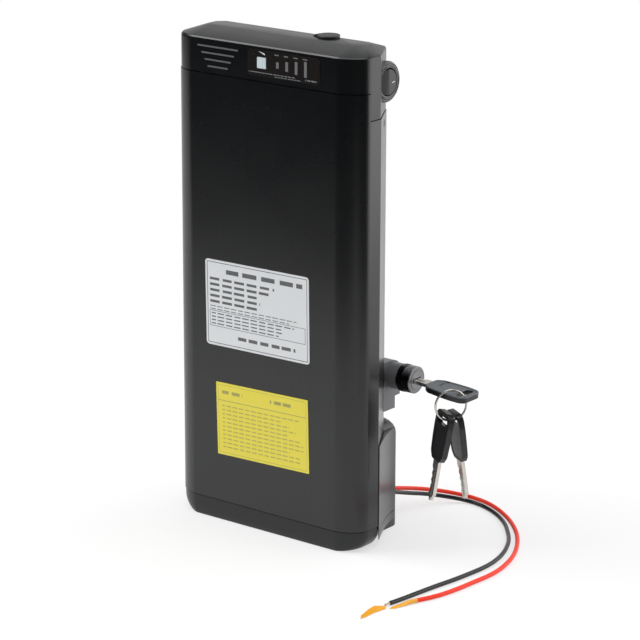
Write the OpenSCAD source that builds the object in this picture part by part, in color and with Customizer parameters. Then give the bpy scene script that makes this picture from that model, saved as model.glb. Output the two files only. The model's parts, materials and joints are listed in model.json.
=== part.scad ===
// Slide-on e-bike battery pack standing on its end in a keyed receiver, with its leads and keys.
// X runs across the broad front, Y from the front to the back, Z up. The origin is under the pack.

/* [Pack case] */
// Width of the case across its side faces
pack_w = 132; // [126:0.4:138]
// Depth of the case from the front face to the back face
pack_d = 44; // [43.6:0.2:48]
// Height of the case at the upper front edge
pack_h = 281.5; // [276:0.5:300]
// Width of the flat front face between its two creases
front_flat_w = 100.8; // [96:0.4:104]
// Depth of the rounded front corners
corner_d = 12.9; // [11:0.1:15]
// Depth of the flat side face
side_flat_d = 8; // [6:0.5:9]
// Width of the flat back face between the two bevels
back_flat_w = 104.6; // [102:0.2:107]
// Wall of the case tube
shell_wall = 2; // [1.6:0.1:2.2]
// Height of the foot cap
foot_cap_h = 12.2; // [11:0.1:14]
// Radius of the rounded ends of the foot
foot_round = 9; // [6:0.5:10]
// Height of the top cap on the front face
cap_front_h = 20.2; // [20:0.1:22]
// Height of the top cap on the sides and the back
cap_back_h = 35.3; // [34:0.1:38]
// Wall of the two caps
cap_wall = 3.6; // [3:0.1:3.8]
// Step from the case tube in to the caps
cap_step = 0.4; // [0.2:0.05:0.6]
// Gap of the seams between the tube and the caps
seam_gap = 0.4; // [0.2:0.05:0.6]
// Rise of the crown above the upper edge
crown_rise = 3.5; // [2.5:0.5:5]
// Width of the sloping band in front of the crown
crown_band = 16.5; // [14:0.5:18]
// Radius of the upper edge
edge_round = 2; // [1:0.25:3]

/* [Indicator and labels] */
// Width of the indicator window
window_w = 50; // [48:0.5:52]
// Height of the indicator window
window_h = 14.3; // [13.5:0.1:15]
// Distance of the window's centre from the middle of the front
window_x = 15; // [12:0.5:17]
// Side of the square test button
button_w = 6.2; // [5:0.1:7]
// Travel of the test button
button_travel = 0.6; // [0.3:0.1:0.8]
// Width of the light bars
light_bar_w = 1.9; // [1.4:0.1:2.4]
// Width of the upper label
label_w = 74.2; // [70:0.2:78]
// Height of the upper label
label_h = 50; // [46:0.5:54]
// Height of the upper label's centre
label_z = 130.7; // [125:0.5:140]
// Width of the lower label
notice_w = 66.3; // [62:0.1:70]
// Height of the lower label
notice_h = 43; // [40:0.5:46]
// Height of the lower label's centre
notice_z = 63; // [58:0.5:68]

/* [Switch and charge port] */
// Radius of the switch bezel
bezel_r = 11.5; // [10.5:0.1:12]
// Height of the switch bezel
bezel_h = 3; // [2.8:0.1:3.4]
// Radius of the rocker
rocker_r = 7.2; // [6.5:0.1:7.6]
// Angle through which the rocker tips
rocker_tip = 14; // [8:1:16]
// Distance of the switch axis below the upper edge
switch_drop = 17.9; // [17:0.1:19]
// Radius of the charge port cover
port_cover_r = 6.4; // [6.2:0.1:7]
// Bore radius of the charge socket
port_bore_r = 2.75; // [2.5:0.05:3]

/* [Cells] */
// Diameter of a cell
cell_d = 18.4; // [18.2:0.1:18.6]
// Length of a cell
cell_l = 65; // [64:0.5:66]
// Cells across in each tier, from the bottom
cells_across = [4, 3];

/* [Receiver] */
// Half width of the receiver rail
rail_half_w = 36; // [34:0.5:38]
// Height of the top of the rail
rail_top = 235; // [225:1:238]
// Depth of the receiver behind the pack
receiver_d = 16; // [16:0.5:18]
// Height of the receiver box
box_h = 63.5; // [60:0.5:67]
// Height of the base under the receiver box
base_h = 9.5; // [8:0.5:12]
// Distance of the tops of the wings below the top of the box
wing_drop = 4; // [2:0.5:10]
// Radius of the mounting holes
mount_hole_r = 2.75; // [2.6:0.05:3]
// Spacing of the mounting holes
mount_pitch = 64; // [60:1:70]
// Height of the lower mounting hole
mount_z = 118; // [112:1:124]

/* [Lock and keys] */
// Height of the lock axis above the receiver box
lock_rise = 28.1; // [26:0.1:31]
// Distance of the lock axis behind the pack
lock_back = 8; // [7.8:0.1:8.6]
// Place of the lock's front face across the width
lock_face_x = 69.2; // [68:0.2:72]
// Radius of the lock head
lock_head_r = 7.8; // [7.4:0.1:8.2]
// Radius of the turning plug
plug_r = 5.4; // [5.2:0.1:5.6]
// Travel of the lock bolt
bolt_travel = 4; // [3:0.5:4]
// Angle at which the key droops in its keyway
key_droop = 4.5; // [0:0.5:6]
// Length of the key's head
key_head_l = 28.5; // [27:0.5:30]
// Full width of the key's head
key_head_w = 19; // [18:0.5:20]
// Thickness of the key's head
key_head_t = 3.4; // [3:0.1:3.6]
// Length of the blade beyond the head
blade_l = 23.5; // [22:0.5:24]
// Width of the blade
blade_w = 7; // [6:0.2:7.2]
// Thickness of the blade
blade_t = 2; // [1.8:0.1:2.2]
// Centreline radius of the key ring
ring_r = 8.8; // [8.8:0.1:9.2]
// Wire of the key ring
ring_wire = 1.3; // [1:0.1:1.4]

/* [Leads] */
// Diameter of a lead
lead_d = 2.5; // [2.2:0.1:2.8]

/* [Hidden] */

fine = 64;
medium = 40;
overrun = 1;
skin = 0.01;
corner_steps = 12;
crease = 9;
slide_gap = 0.5;
part_gap = 0.2;
seat_gap = 0.3;
shaft_gap = 0.08;

half_w = pack_w / 2;
half_d = pack_d / 2;
front_half = front_flat_w / 2;
back_half = back_flat_w / 2;
corner_back_y = -half_d + corner_d;
bevel_start_y = corner_back_y + side_flat_d;
bevel_in = half_w - back_half;
bevel_run = half_d - bevel_start_y;
bevel_angle = atan2(bevel_in, bevel_run);
bevel_normal = [cos(bevel_angle), sin(bevel_angle)];

cap_front_z = pack_h - cap_front_h;
cap_back_z = pack_h - cap_back_h;
cap_step_y = corner_back_y - 2 * shell_wall / 3;
cap_face_y = -half_d + cap_step;
crown_top = pack_h + crown_rise;
crown_side_share = 0.7;
crown_back_share = 0.82;
crown_cut_share = 0.25;
spigot_gap = 0.2;
spigot_out = shell_wall + spigot_gap;
cap_inner = cap_step + cap_wall;
spigot_drop = 6;
cap_spigot_drop = 9;
floor_t = 3;
crown_roof = 2;

window_rise_share = 0.02;
window_z = pack_h - cap_front_h / 2 + window_rise_share * cap_front_h;
window_t = 1.1;
window_deep = 0.9;
window_round = 2;
button_place_share = 0.308;
button_x = window_x - button_place_share * window_w;
button_t = 1.6;
button_proud = 0.3;
button_stem_r = 2;
bar_height_shares = [0.24, 0.37, 0.49, 0.6];
bar_place_shares = [-0.086, 0.044, 0.174, 0.302];
label_t = 0.25;
label_round = 2;
label_x = -3.8;
label_turn = 0.8;
notice_turn = 1.5;
notice_x = -0.2;
rib_line_w = 0.9;
rib_line_proud = 0.5;
rib_line_x = -31.3;
rib_line_top = 4.9;
rib_line_pitch = 3.7;
rib_line_lengths = [29, 23.6, 18.8, 14.6];

switch_z = pack_h - switch_drop;
switch_y = 12.2;
switch_seat_x = 57.9;
boss_wall = 1.1;
pocket_r = bezel_r + part_gap;
switch_hole_r = 8.6;
rocker_gap = 0.5;
bezel_mouth_r = rocker_r + rocker_gap;
bezel_profile_shares = [[0, 0.15], [0.35, 0.42], [0.7, 0.7], [1, 0.93], [1.13, 1]];
rocker_proud = 0.3;
rocker_deep = 5;
port_x = 24.8;
port_y = 5.5;
port_cover_t = 1.5;
port_tab_l = 2.4;
port_tab_w = 4;
port_pivot_r = 1.1;
socket_r = 4.8;
socket_flange_r = 6.4;
socket_flange_t = 1.6;
socket_l = 18;
port_bore_l = 9.5;

foam_t = 4;
holder_t = 5;
holder_grip = 3;
holder_wall = 1.2;
cell_gap = 0.15;
cell_pitch = cell_d + part_gap;
cell_row_y = cell_pitch / 2;
foam_bottom = foot_cap_h + spigot_drop;
holder_bottom = foam_bottom + foam_t;
tier_z = [holder_bottom + holder_t - holder_grip,
    holder_bottom + 2 * holder_t - holder_grip + cell_l + 2 * seat_gap];
strip_t = 0.2;
strip_w = 7;
bms_w = 60;
bms_h = 62;
bms_t = 1.6;
bms_y = 4;
bms_foot = 8;
pack_lead_r = 1.6;
pack_lead_x = 41;

rib_half_w = 29.4;
rib_web_half_w = 23.4;
rib_top = 232;
rail_clear = 2;
lip_front = half_d + rail_clear;
lip_t = 3.4;
rail_back_t = 4;
rail_back = half_d + receiver_d;
rail_inner_y = rail_back - rail_back_t;
rib_back = rail_inner_y - slide_gap;
plug_half_w = 21;
plug_lift = 3.5;
plug_roof = 8.5;
plug_bottom = box_h + plug_lift;
plug_flange_t = 1.2;
plug_window_half_w = 18;
blade_x = [-15, -5, 5, 15];
contact_w = 6;
contact_t = 0.8;
contact_l = 14;
rib_bottom = plug_bottom + contact_l + plug_roof;
box_half_w = back_half;
box_corner_r = 6;
box_top_r = 8;
box_wall = 2.5;
wing_h = box_h - wing_drop;
wing_foot_z = 4.5;
wing_gap = 0.3;
wing_tip_share = 0.02;
wing_tip_t = 0.4;
wing_t = 1.1;
wing_deep = 11;
wing_steps = 6;
wing_back_y = half_d + wing_deep;
gland_x = 38;
gland_z = 15;
gland_pitch = 5;
gland_l = 3;
gland_r = 2.4;

lock_z = box_h + lock_rise;
lock_y = half_d + lock_back;
block_x0 = rail_half_w;
block_face_x = 52.4;
block_x1 = 60;
collar_r = 7.6;
block_gap = 0.6;
block_front = half_d + block_gap;
block_leg_x1 = back_half - block_gap;
block_leg_d = 10.8;
block_leg_clear = 7.5;
block_leg_z0 = box_h + block_leg_clear;
block_rear_drop = 13.4;
block_r = 8.4;
bolt_x = 42;
bolt_half_w = 3;
bolt_half_h = 4.8;
bolt_tip_r = 3;
bolt_inset = 0.1;
bolt_tip_l = 5.7;
bolt_front = block_front + bolt_inset;
bolt_body_y = bolt_front + bolt_tip_l;
bolt_tail = 5.4;
bolt_back = lock_y + bolt_tail;
bolt_gap = 0.4;
bolt_hole_r = bolt_tip_r + bolt_gap;
cam_r = 0.9;
cam_orbit = bolt_travel / sqrt(2);
cam_bite = 1.7;
plug_back_x = 48.5;
barrel_back_x = 46.5;
barrel_hole_r = 7;
barrel_body_r = barrel_hole_r - part_gap;
nut_flats = 15.2;
nut_r = 8;
nut_l = 3;
nut_gap = 0.1;
head_back_x = block_x1 + nut_gap + nut_l + slide_gap;
thread_depth = 0.4;
thread_pitch = 1.1;
thread_shares = [0.5, 0.6, 0.9];
keyway_gap = 0.25;
keyway_l = 20;

slot_from_end = 5.2;
slot_half_l = 6.5;
slot_half_w = 2.3;
head_from_slot = key_head_l - slot_from_end;
key_tip_from_slot = head_from_slot + blade_l;
key_slot_x = 33;
head_lip = 0.8;
head_shares = [[0, 0.55], [0.13, 0.86], [0.45, 0.97], [0.72, 1], [0.9, 0.94], [0.97, 0.8], [1, 0.6]];
ring_yaw = 50;
ring_rise = 1.9;
ring_hang = ring_r - ring_rise;
ring_shift = [-4.5, -6.8];
spare_angle_a = -22;
spare_angle_b = 18;
spare_tilt_a = 9;
spare_tilt_b = -8;
spare_turn = 8;
spare_rest = 0.5;

red_points = [[35.5, 41, 15], [35.5, 45, 14.9], [35.7, 50, 14.1], [36.3, 56, 12.8], [37.5, 63, 11.1],
    [39.6, 70.5, 9.3], [42.8, 78, 7.4], [47, 85.2, 5.4], [52.5, 91.5, 3.4], [59.3, 95.7, 1.9], [66.8, 96.4, 1.3],
    [75, 94.4, 1.3], [84, 90.4, 1.3], [92.5, 85.2, 1.3], [100.8, 79, 1.3], [108.5, 72, 1.3],
    [115.6, 64.5, 1.3], [121.9, 56.4, 1.3], [127.5, 47.8, 1.3], [132.3, 38.9, 1.3], [136.1, 30.2, 1.3],
    [138.9, 21.3, 1.3], [141, 12, 1.3], [141.9, 2.8, 1.3], [141.7, -5.5, 1.3], [141, -13.7, 1.3],
    [139.6, -29.2, 1.3], [136.8, -43.4, 1.3], [132.4, -54.9, 1.3]];
black_points = [[40.5, 41, 15], [40.5, 45, 14.5], [40.7, 50, 13], [41.5, 56, 11.2], [43.2, 62.5, 9.4],
    [45.8, 69.5, 7.7], [49.3, 76.2, 5.9], [53.6, 82.2, 4.1], [58.6, 87, 2.6], [64.5, 89.7, 1.6], [71.8, 89.5, 1.3],
    [79.5, 87.1, 1.3], [87.7, 83.1, 1.3], [95.6, 77.8, 1.3], [103.3, 71.1, 1.3], [110.2, 63.4, 1.3],
    [115.6, 56.7, 1.3], [120.4, 49.6, 1.3], [124.6, 41.7, 1.3], [128.3, 33, 1.3], [131, 23.7, 1.3],
    [132.5, 13.9, 1.3], [132.7, 6, 1.3], [132.2, -1.7, 1.3], [130.6, -17, 1.3], [128.3, -31.6, 1.3],
    [126.4, -46.4, 1.3], [124.9, -58.6, 1.3], [123.6, -66.6, 1.3]];
lead_sides = 8;
tape_w = 3.4;
tape_t = 0.3;

// The corners leave the flat front at an angle, which makes a crease. The tail is the inset at the back.
function pack_outline(side = 0, front = 0, back = 0, tail = undef) = let (
    corner_w = (half_w - front_half - side) / (1 - sin(crease)),
    corner_h = (corner_d - front) / cos(crease),
    tail_in = is_undef(tail) ? side : tail,
    right = concat(
        [for (k = [0:corner_steps]) let (t = crease + (90 - crease) * k / corner_steps)
            [front_half + corner_w * (sin(t) - sin(crease)), corner_back_y - corner_h * cos(t)]],
        [[half_w - side, bevel_start_y - side * tan(bevel_angle / 2)],
         [back_half - tail_in * (1 - sin(bevel_angle)) / cos(bevel_angle), half_d - back]]))
    concat(right, [for (k = [len(right) - 1:-1:0]) [-right[k].x, right[k].y]]);

function bevel_point(share, out) = [half_w - share * bevel_in, bevel_start_y + share * bevel_run]
    + out * bevel_normal;

function key_to_pack(p) = [lock_face_x + p.x * cos(key_droop) + p.z * sin(key_droop), lock_y + p.y,
    lock_z - p.x * sin(key_droop) + p.z * cos(key_droop)];

ring_centre = key_to_pack([key_slot_x + ring_shift.x, ring_shift.y, key_head_t / 2]) - [0, 0, ring_hang];

function ring_point(a) = ring_centre
    + ring_r * [sin(a) * cos(ring_yaw), sin(a) * sin(ring_yaw), -cos(a)];

module prism(z0, z1, points) {
    translate([0, 0, z0]) linear_extrude(z1 - z0) polygon(points);
}

module shell_prism(z0, z1, inset) {
    prism(z0, z1, pack_outline(inset, inset, inset));
}

module box(low, high) {
    translate(low) cube(high - low);
}

module rod_x(x0, x1, y, z, r) {
    translate([x0, y, z]) rotate([0, 90, 0]) cylinder(h = x1 - x0, r = r, $fn = fine);
}

module rod_y(y0, y1, x, z, r) {
    translate([x, y0, z]) rotate([-90, 0, 0]) cylinder(h = y1 - y0, r = r, $fn = medium);
}

module rod_z(z0, z1, x, y, r) {
    translate([x, y, z0]) cylinder(h = z1 - z0, r = r, $fn = medium);
}

module plate_xz(w, h, round, y0, y1, x, z, turn = 0) {
    translate([x, y1, z]) rotate([90, 0, 0]) rotate(turn) linear_extrude(y1 - y0) {
        square([w - 2 * round, h], center = true);
        square([w, h - 2 * round], center = true);
        for (sx = [-1, 1], sy = [-1, 1])
            translate([sx * (w / 2 - round), sy * (h / 2 - round)]) circle(round, $fn = 24);
    }
}

// Bevel screws hold the caps: the head sits in a countersink that faces away from the bevel.
screw_share = 0.56;
screw_head_r = 2.2;
screw_shaft_r = 1.1;
screw_head_l = 1.3;
screw_l = 6;
cap_screw_drop = 5.6;
cap_screw_z = cap_back_z - cap_screw_drop;
foot_screw_z = foot_cap_h + spigot_drop / 2;

module on_bevel(side, z) {
    p = bevel_point(screw_share, 0);
    mirror([side < 0 ? 1 : 0, 0, 0]) translate([p.x, p.y, z]) rotate([0, 0, bevel_angle])
        rotate([0, 90, 0]) children();
}

module bevel_screw(grow = 0) rotate_extrude($fn = medium) polygon(concat([[0, -screw_l - grow],
    [screw_shaft_r + grow, -screw_l - grow], [screw_shaft_r + grow, -screw_head_l - grow],
    [screw_head_r + grow, 0]], grow > 0 ? [[screw_head_r + grow, grow], [0, grow]] : [[0, 0]]));

module cross_recess() {
    for (a = [0, 90]) rotate([0, 0, a])
        translate([-screw_shaft_r, -screw_shaft_r / 4, -screw_head_l / 2])
            cube([2 * screw_shaft_r, screw_shaft_r / 2, screw_head_l]);
}

module body_shell() color([0.07, 0.07, 0.08]) difference() {
    shell_prism(foot_cap_h + seam_gap / 2, cap_front_z - seam_gap / 2, 0);
    shell_prism(foot_cap_h - overrun, cap_front_z + overrun, shell_wall);
    box([-half_w - overrun, cap_step_y, cap_back_z - seam_gap / 2],
        [half_w + overrun, half_d + overrun, cap_front_z + overrun]);
    box([-plug_window_half_w, half_d - shell_wall - overrun, plug_bottom + floor_t],
        [plug_window_half_w, half_d + overrun, rib_bottom - floor_t]);
    rod_y(half_d - shell_wall - overrun, half_d + overrun, bolt_x, lock_z, bolt_hole_r);
    for (s = [-1, 1]) {
        on_bevel(s, cap_screw_z) bevel_screw(part_gap / 2);
        on_bevel(s, foot_screw_z) bevel_screw(part_gap / 2);
    }
    for (x = rib_screw_x, z = rib_screw_z)
        rod_y(half_d - shell_wall - overrun, half_d + overrun, x, z, rib_screw_r);
}

module crown() hull() {
    for (a = [0:30:90]) translate([0, 0, pack_h - edge_round * (1 - sin(a))])
        linear_extrude(skin) polygon(pack_outline(cap_step + edge_round * (1 - cos(a)),
            cap_step + edge_round * (1 - cos(a)), cap_step + edge_round * (1 - cos(a))));
    translate([0, 0, crown_top - skin]) linear_extrude(skin) crown_flat();
}

module crown_flat() {
    x1 = half_w - crown_side_share * crown_band;
    y0 = -half_d + crown_band;
    y1 = half_d - crown_back_share * crown_band;
    cut = crown_cut_share * crown_band;
    polygon([[cut - x1, y0], [x1 - cut, y0], [x1, y0 + cut], [x1, y1 - cut], [x1 - cut, y1], [cut - x1, y1],
        [-x1, y1 - cut], [-x1, y0 + cut]]);
}

module grip_lines() {
    for (k = [0:len(rib_line_lengths) - 1])
        plate_xz(rib_line_lengths[k], rib_line_w, rib_line_w / 2 - skin, cap_face_y - rib_line_proud,
            cap_face_y + overrun, rib_line_x, pack_h - rib_line_top - k * rib_line_pitch);
}

module top_cap() color([0.09, 0.09, 0.1]) difference() {
    union() {
        crown();
        shell_prism(cap_front_z + seam_gap / 2, pack_h - edge_round + skin, cap_step);
        intersection() {
            shell_prism(cap_back_z + seam_gap / 2, cap_front_z + overrun, cap_step);
            box([-half_w - overrun, cap_step_y + seam_gap, 0],
                [half_w + overrun, half_d + overrun, pack_h]);
        }
        shell_prism(cap_back_z - cap_spigot_drop, cap_front_z + overrun, spigot_out);
        rod_x(back_half - boss_wall, switch_seat_x, switch_y, switch_z, bezel_r - part_gap);
        rod_z(pack_h - crown_roof, crown_top, port_x, port_y, port_cover_r - 2 * part_gap);
        grip_lines();
    }
    shell_prism(cap_back_z - cap_spigot_drop - overrun, pack_h - crown_roof, cap_inner);
    rod_x(switch_seat_x, half_w + overrun, switch_y, switch_z, pocket_r);
    rod_x(back_half - 4 * cap_wall, switch_seat_x + overrun, switch_y, switch_z, switch_hole_r + part_gap);
    rod_z(pack_h - 2 * crown_roof, crown_top + overrun, port_x, port_y, socket_r + part_gap / 2);
    plate_xz(window_w + part_gap, window_h + part_gap, window_round, cap_face_y - overrun,
        cap_face_y + window_deep, window_x, window_z);
    box([button_x - button_w / 2 - part_gap, cap_face_y - overrun, window_z - button_w / 2 - part_gap],
        [button_x + button_w / 2 + part_gap, cap_face_y + button_t + button_travel,
         window_z + button_w / 2 + part_gap]);
    rod_y(cap_face_y, cap_face_y + cap_wall + overrun, button_x, window_z, button_stem_r + part_gap);
    for (s = [-1, 1]) on_bevel(s, cap_screw_z) bevel_screw(part_gap / 2);
    box([port_pivot_x - 2 * port_pivot_r, port_y - port_tab_w / 2 - seat_gap,
            crown_top - port_pivot_r - seat_gap],
        [port_pivot_x + port_pivot_r + seat_gap, port_y + port_tab_w / 2 + seat_gap, crown_top + overrun]);
}

// The ends of the foot are rounded far more than its front and back.
foot_edge_share = 0.15;

module foot_body(top) hull() {
    for (a = [0:15:90]) translate([0, 0, foot_round * (1 - sin(a))]) linear_extrude(skin)
        polygon(pack_outline(cap_step + foot_round * (1 - cos(a)),
            cap_step + foot_edge_share * foot_round * (1 - cos(a)),
            cap_step + foot_edge_share * foot_round * (1 - cos(a)), cap_step));
    shell_prism(top - skin, top, cap_step);
}

module foot_cap() color([0.09, 0.09, 0.1]) difference() {
    union() {
        foot_body(foot_cap_h - seam_gap / 2);
        shell_prism(foot_cap_h - overrun, foot_cap_h + spigot_drop, spigot_out);
    }
    hull() {
        prism(floor_t, floor_t + skin, pack_outline(cap_inner + foot_round / 2, cap_inner, cap_inner, cap_inner));
        shell_prism(foot_round, foot_cap_h + spigot_drop + overrun, cap_inner);
    }
    for (s = [-1, 1]) on_bevel(s, foot_screw_z) bevel_screw(part_gap / 2);
}

module cap_screws() color([0.16, 0.16, 0.17]) for (s = [-1, 1])
    on_bevel(s, cap_screw_z) difference() { bevel_screw(); cross_recess(); }

module foot_screws() color([0.16, 0.16, 0.17]) for (s = [-1, 1])
    on_bevel(s, foot_screw_z) difference() { bevel_screw(); cross_recess(); }

// The rib is a T that slides down the channel of the receiver.
rib_screw_x = [-12, 12];
rib_screw_inset = 14;
rib_screw_z = [rib_bottom + rib_screw_inset, rib_top - rib_screw_inset];
rib_screw_r = 1.5;
rib_head_r = 3;
rib_head_l = 2;

module slide_rib() color([0.1, 0.1, 0.11]) difference() {
    prism(rib_bottom, rib_top, [[-rib_web_half_w, half_d], [rib_web_half_w, half_d],
        [rib_web_half_w, lip_front + lip_t + slide_gap], [rib_half_w, lip_front + lip_t + slide_gap],
        [rib_half_w, rib_back], [-rib_half_w, rib_back],
        [-rib_half_w, lip_front + lip_t + slide_gap], [-rib_web_half_w, lip_front + lip_t + slide_gap]]);
    for (x = rib_screw_x, z = rib_screw_z) {
        rod_y(half_d - overrun, rib_back + overrun, x, z, rib_screw_r + part_gap);
        rod_y(rib_back - rib_head_l - part_gap, rib_back + overrun, x, z, rib_head_r + part_gap);
    }
}

module rib_screws() color([0.6, 0.6, 0.62]) for (x = rib_screw_x, z = rib_screw_z) difference() {
    union() {
        rod_y(half_d - shell_wall, rib_back - rib_head_l, x, z, rib_screw_r - part_gap / 4);
        rod_y(rib_back - rib_head_l - part_gap / 4, rib_back - part_gap, x, z, rib_head_r);
    }
    translate([x, rib_back - part_gap, z]) rotate([-90, 0, 0]) cross_recess();
}

module upper_label() color([0.88, 0.88, 0.89])
    plate_xz(label_w, label_h, label_round, -half_d - label_t, -half_d, label_x, label_z, label_turn);

module lower_label() color([0.94, 0.86, 0.2])
    plate_xz(notice_w, notice_h, label_t, -half_d - label_t, -half_d, notice_x, notice_z, notice_turn);

module window_bars(y0, y1, grow = 0) {
    for (k = [0:len(bar_height_shares) - 1]) {
        x = window_x + bar_place_shares[k] * window_w;
        h = bar_height_shares[k] * window_h;
        box([x - light_bar_w / 2 - grow, y0, window_z - h / 2 - grow],
            [x + light_bar_w / 2 + grow, y1, window_z + h / 2 + grow]);
    }
}

module indicator_window() color([0.1, 0.08, 0.08]) difference() {
    plate_xz(window_w, window_h, window_round, cap_face_y + window_deep - window_t,
        cap_face_y + window_deep, window_x, window_z);
    window_bars(cap_face_y - overrun, cap_face_y + window_t + overrun);
    box([button_x - button_w / 2 - part_gap, cap_face_y - overrun, window_z - button_w / 2 - part_gap],
        [button_x + button_w / 2 + part_gap, cap_face_y + window_t + overrun,
         window_z + button_w / 2 + part_gap]);
}

module light_bars() color([0.62, 0.64, 0.66])
    window_bars(cap_face_y + window_deep - window_t, cap_face_y + window_deep);

module test_button() color([0.9, 0.9, 0.9]) union() {
    box([button_x - button_w / 2, cap_face_y - button_proud, window_z - button_w / 2],
        [button_x + button_w / 2, cap_face_y - button_proud + button_t, window_z + button_w / 2]);
    rod_y(cap_face_y - button_proud + button_t - skin, board_y - tact_t - button_travel - seat_gap / 3,
        button_x, window_z, button_stem_r);
}

board_drop = 3.4;
board_y = cap_face_y + cap_wall + board_drop;
board_t = 1.2;
board_h = 15;
board_post = 2;
tact_t = 1.6;

module indicator_board() color([0.1, 0.3, 0.18]) union() {
    box([window_x - window_w / 2, board_y, window_z - board_h / 2],
        [window_x + window_w / 2, board_y + board_t, window_z + board_h / 2]);
    box([button_x - button_w / 2, board_y - tact_t, window_z - button_w / 2],
        [button_x + button_w / 2, board_y + skin, window_z + button_w / 2]);
    for (k = [0:len(bar_place_shares) - 1]) {
        x = window_x + bar_place_shares[k] * window_w;
        box([x - light_bar_w / 2, board_y - tact_t, window_z - light_bar_w],
            [x + light_bar_w / 2, board_y + skin, window_z + light_bar_w]);
    }
    for (s = [-1, 1]) box([window_x + s * (window_w / 2 - board_post) - board_post / 2,
            cap_face_y + cap_wall, window_z - board_post],
        [window_x + s * (window_w / 2 - board_post) + board_post / 2, board_y + skin,
            window_z + board_post]);
}

// The cover turns on a tab at its left edge.
port_pivot_x = port_x - port_cover_r - port_tab_l / 2;

module port_cover() color([0.08, 0.08, 0.08]) union() {
    translate([port_x, port_y, crown_top]) {
        cylinder(h = port_cover_t / 2, r = port_cover_r - part_gap, $fn = fine);
        translate([0, 0, port_cover_t / 2 - skin]) cylinder(h = port_cover_t / 2 + skin,
            r1 = port_cover_r, r2 = port_cover_r - port_cover_t / 4, $fn = fine);
    }
    box([port_pivot_x, port_y - port_tab_w / 2, crown_top],
        [port_x - port_cover_r / 2, port_y + port_tab_w / 2, crown_top + port_pivot_r]);
    rod_y(port_y - port_tab_w / 2, port_y + port_tab_w / 2, port_pivot_x, crown_top, port_pivot_r);
}

module charge_socket() color([0.13, 0.13, 0.14]) difference() {
    union() {
        rod_z(crown_top - socket_l, crown_top - part_gap, port_x, port_y, socket_r);
        rod_z(pack_h - crown_roof - socket_flange_t, pack_h - crown_roof, port_x, port_y, socket_flange_r);
    }
    rod_z(crown_top - part_gap - port_bore_l, crown_top + overrun, port_x, port_y, port_bore_r);
}

// The bezel is a dome with a round mouth. The rocker's two faces meet in a low ridge.
module switch_bezel() color([0.07, 0.07, 0.07])
    translate([switch_seat_x, switch_y, switch_z]) rotate([0, 90, 0]) difference() {
        union() {
            rotate_extrude($fn = fine) polygon(concat([[0, 0], [bezel_r, 0]],
                [for (p = bezel_profile_shares) [bezel_r - p.x * bezel_h, p.y * bezel_h]], [[0, bezel_h]]));
            translate([0, 0, -bezel_body_l]) cylinder(h = bezel_body_l + skin, r = switch_hole_r, $fn = fine);
        }
        translate([0, 0, -rocker_deep - rocker_pivot])
            cylinder(h = rocker_deep + rocker_pivot + bezel_h + overrun, r = bezel_mouth_r, $fn = fine);
        translate([0, 0, rocker_pivot]) rocker_pin(part_gap / 2);
    }

bezel_body_l = 12;

module switch_rocker() color([0.12, 0.12, 0.12])
    translate([switch_seat_x + rocker_pivot, switch_y, switch_z]) rotate([0, 90, 0])
        rotate([rocker_tip / 2, 0, 0]) union() {
            intersection() {
                translate([0, 0, -rocker_pivot]) rocker_block();
                sphere(rocker_r, $fn = fine);
            }
            rocker_pin(0);
        }

rocker_pivot = 1.8;
rocker_slope = 9;
rocker_pin_r = 0.7;
rocker_pin_reach = 8.2;

module rocker_pin(grow) rotate([0, 90, 0])
    cylinder(h = 2 * (rocker_pin_reach + grow), r = rocker_pin_r + grow, center = true, $fn = medium);

module rocker_block() {
    reach = 2 * rocker_r;
    fall = reach * tan(rocker_slope);
    low = -rocker_deep / 2;
    top = bezel_h + rocker_proud;
    translate([-reach, 0, 0]) rotate([90, 0, 90]) linear_extrude(2 * reach)
        polygon([[-reach, top - fall], [0, top], [reach, top - fall], [reach, low - fall], [0, low],
            [-reach, low - fall]]);
}

terminal_w = 6.3;
terminal_l = 9;

module switch_terminals() color([0.75, 0.72, 0.6]) for (s = [-1, 1])
    box([switch_seat_x - bezel_body_l - terminal_l, switch_y - terminal_w / 2,
            switch_z + s * rocker_r / 2 - contact_t / 2],
        [switch_seat_x - bezel_body_l, switch_y + terminal_w / 2,
            switch_z + s * rocker_r / 2 + contact_t / 2]);

// Cells stand in two tiers, two deep.
function tier_x(tier, k) = (k - (cells_across[tier] - 1) / 2) * cell_pitch;

module each_cell() {
    for (tier = [0, 1], k = [0:cells_across[tier] - 1], s = [-1, 1])
        translate([tier_x(tier, k), s * cell_row_y, tier_z[tier]]) children();
}

module cells() color([0.2, 0.45, 0.7]) each_cell() cylinder(h = cell_l, r = cell_d / 2, $fn = medium);

holder_half_w = cells_across[0] * cell_pitch / 2 + holder_wall;
holder_half_d = cell_pitch + (half_d - shell_wall - cell_pitch) / 2;

module holder_plate(z0, z1) {
    box([-holder_half_w, -holder_half_d, z0], [holder_half_w, holder_half_d, z1]);
}

module cell_cups(grow) {
    each_cell() translate([0, 0, -seat_gap]) cylinder(h = cell_l + 2 * seat_gap, r = cell_d / 2 + grow,
        $fn = medium);
}

module holder_lower() color([0.85, 0.85, 0.8]) difference() {
    holder_plate(holder_bottom, holder_bottom + holder_t);
    each_cell() cylinder(h = cell_l, r = cell_d / 2 + cell_gap, $fn = medium);
}

holder_middle_z = tier_z[0] + cell_l - holder_grip;

module holder_middle() color([0.85, 0.85, 0.8]) difference() {
    holder_plate(holder_middle_z, tier_z[1] + holder_grip);
    cell_cups(cell_gap);
    strip_slots();
}

holder_upper_z = tier_z[1] + cell_l - holder_grip;

module holder_upper() color([0.85, 0.85, 0.8]) difference() {
    holder_plate(holder_upper_z, holder_upper_z + holder_t);
    translate([0, 0, overrun]) each_cell() cylinder(h = cell_l, r = cell_d / 2 + cell_gap, $fn = medium);
    cell_cups(cell_gap);
    strip_slots();
}

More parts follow.
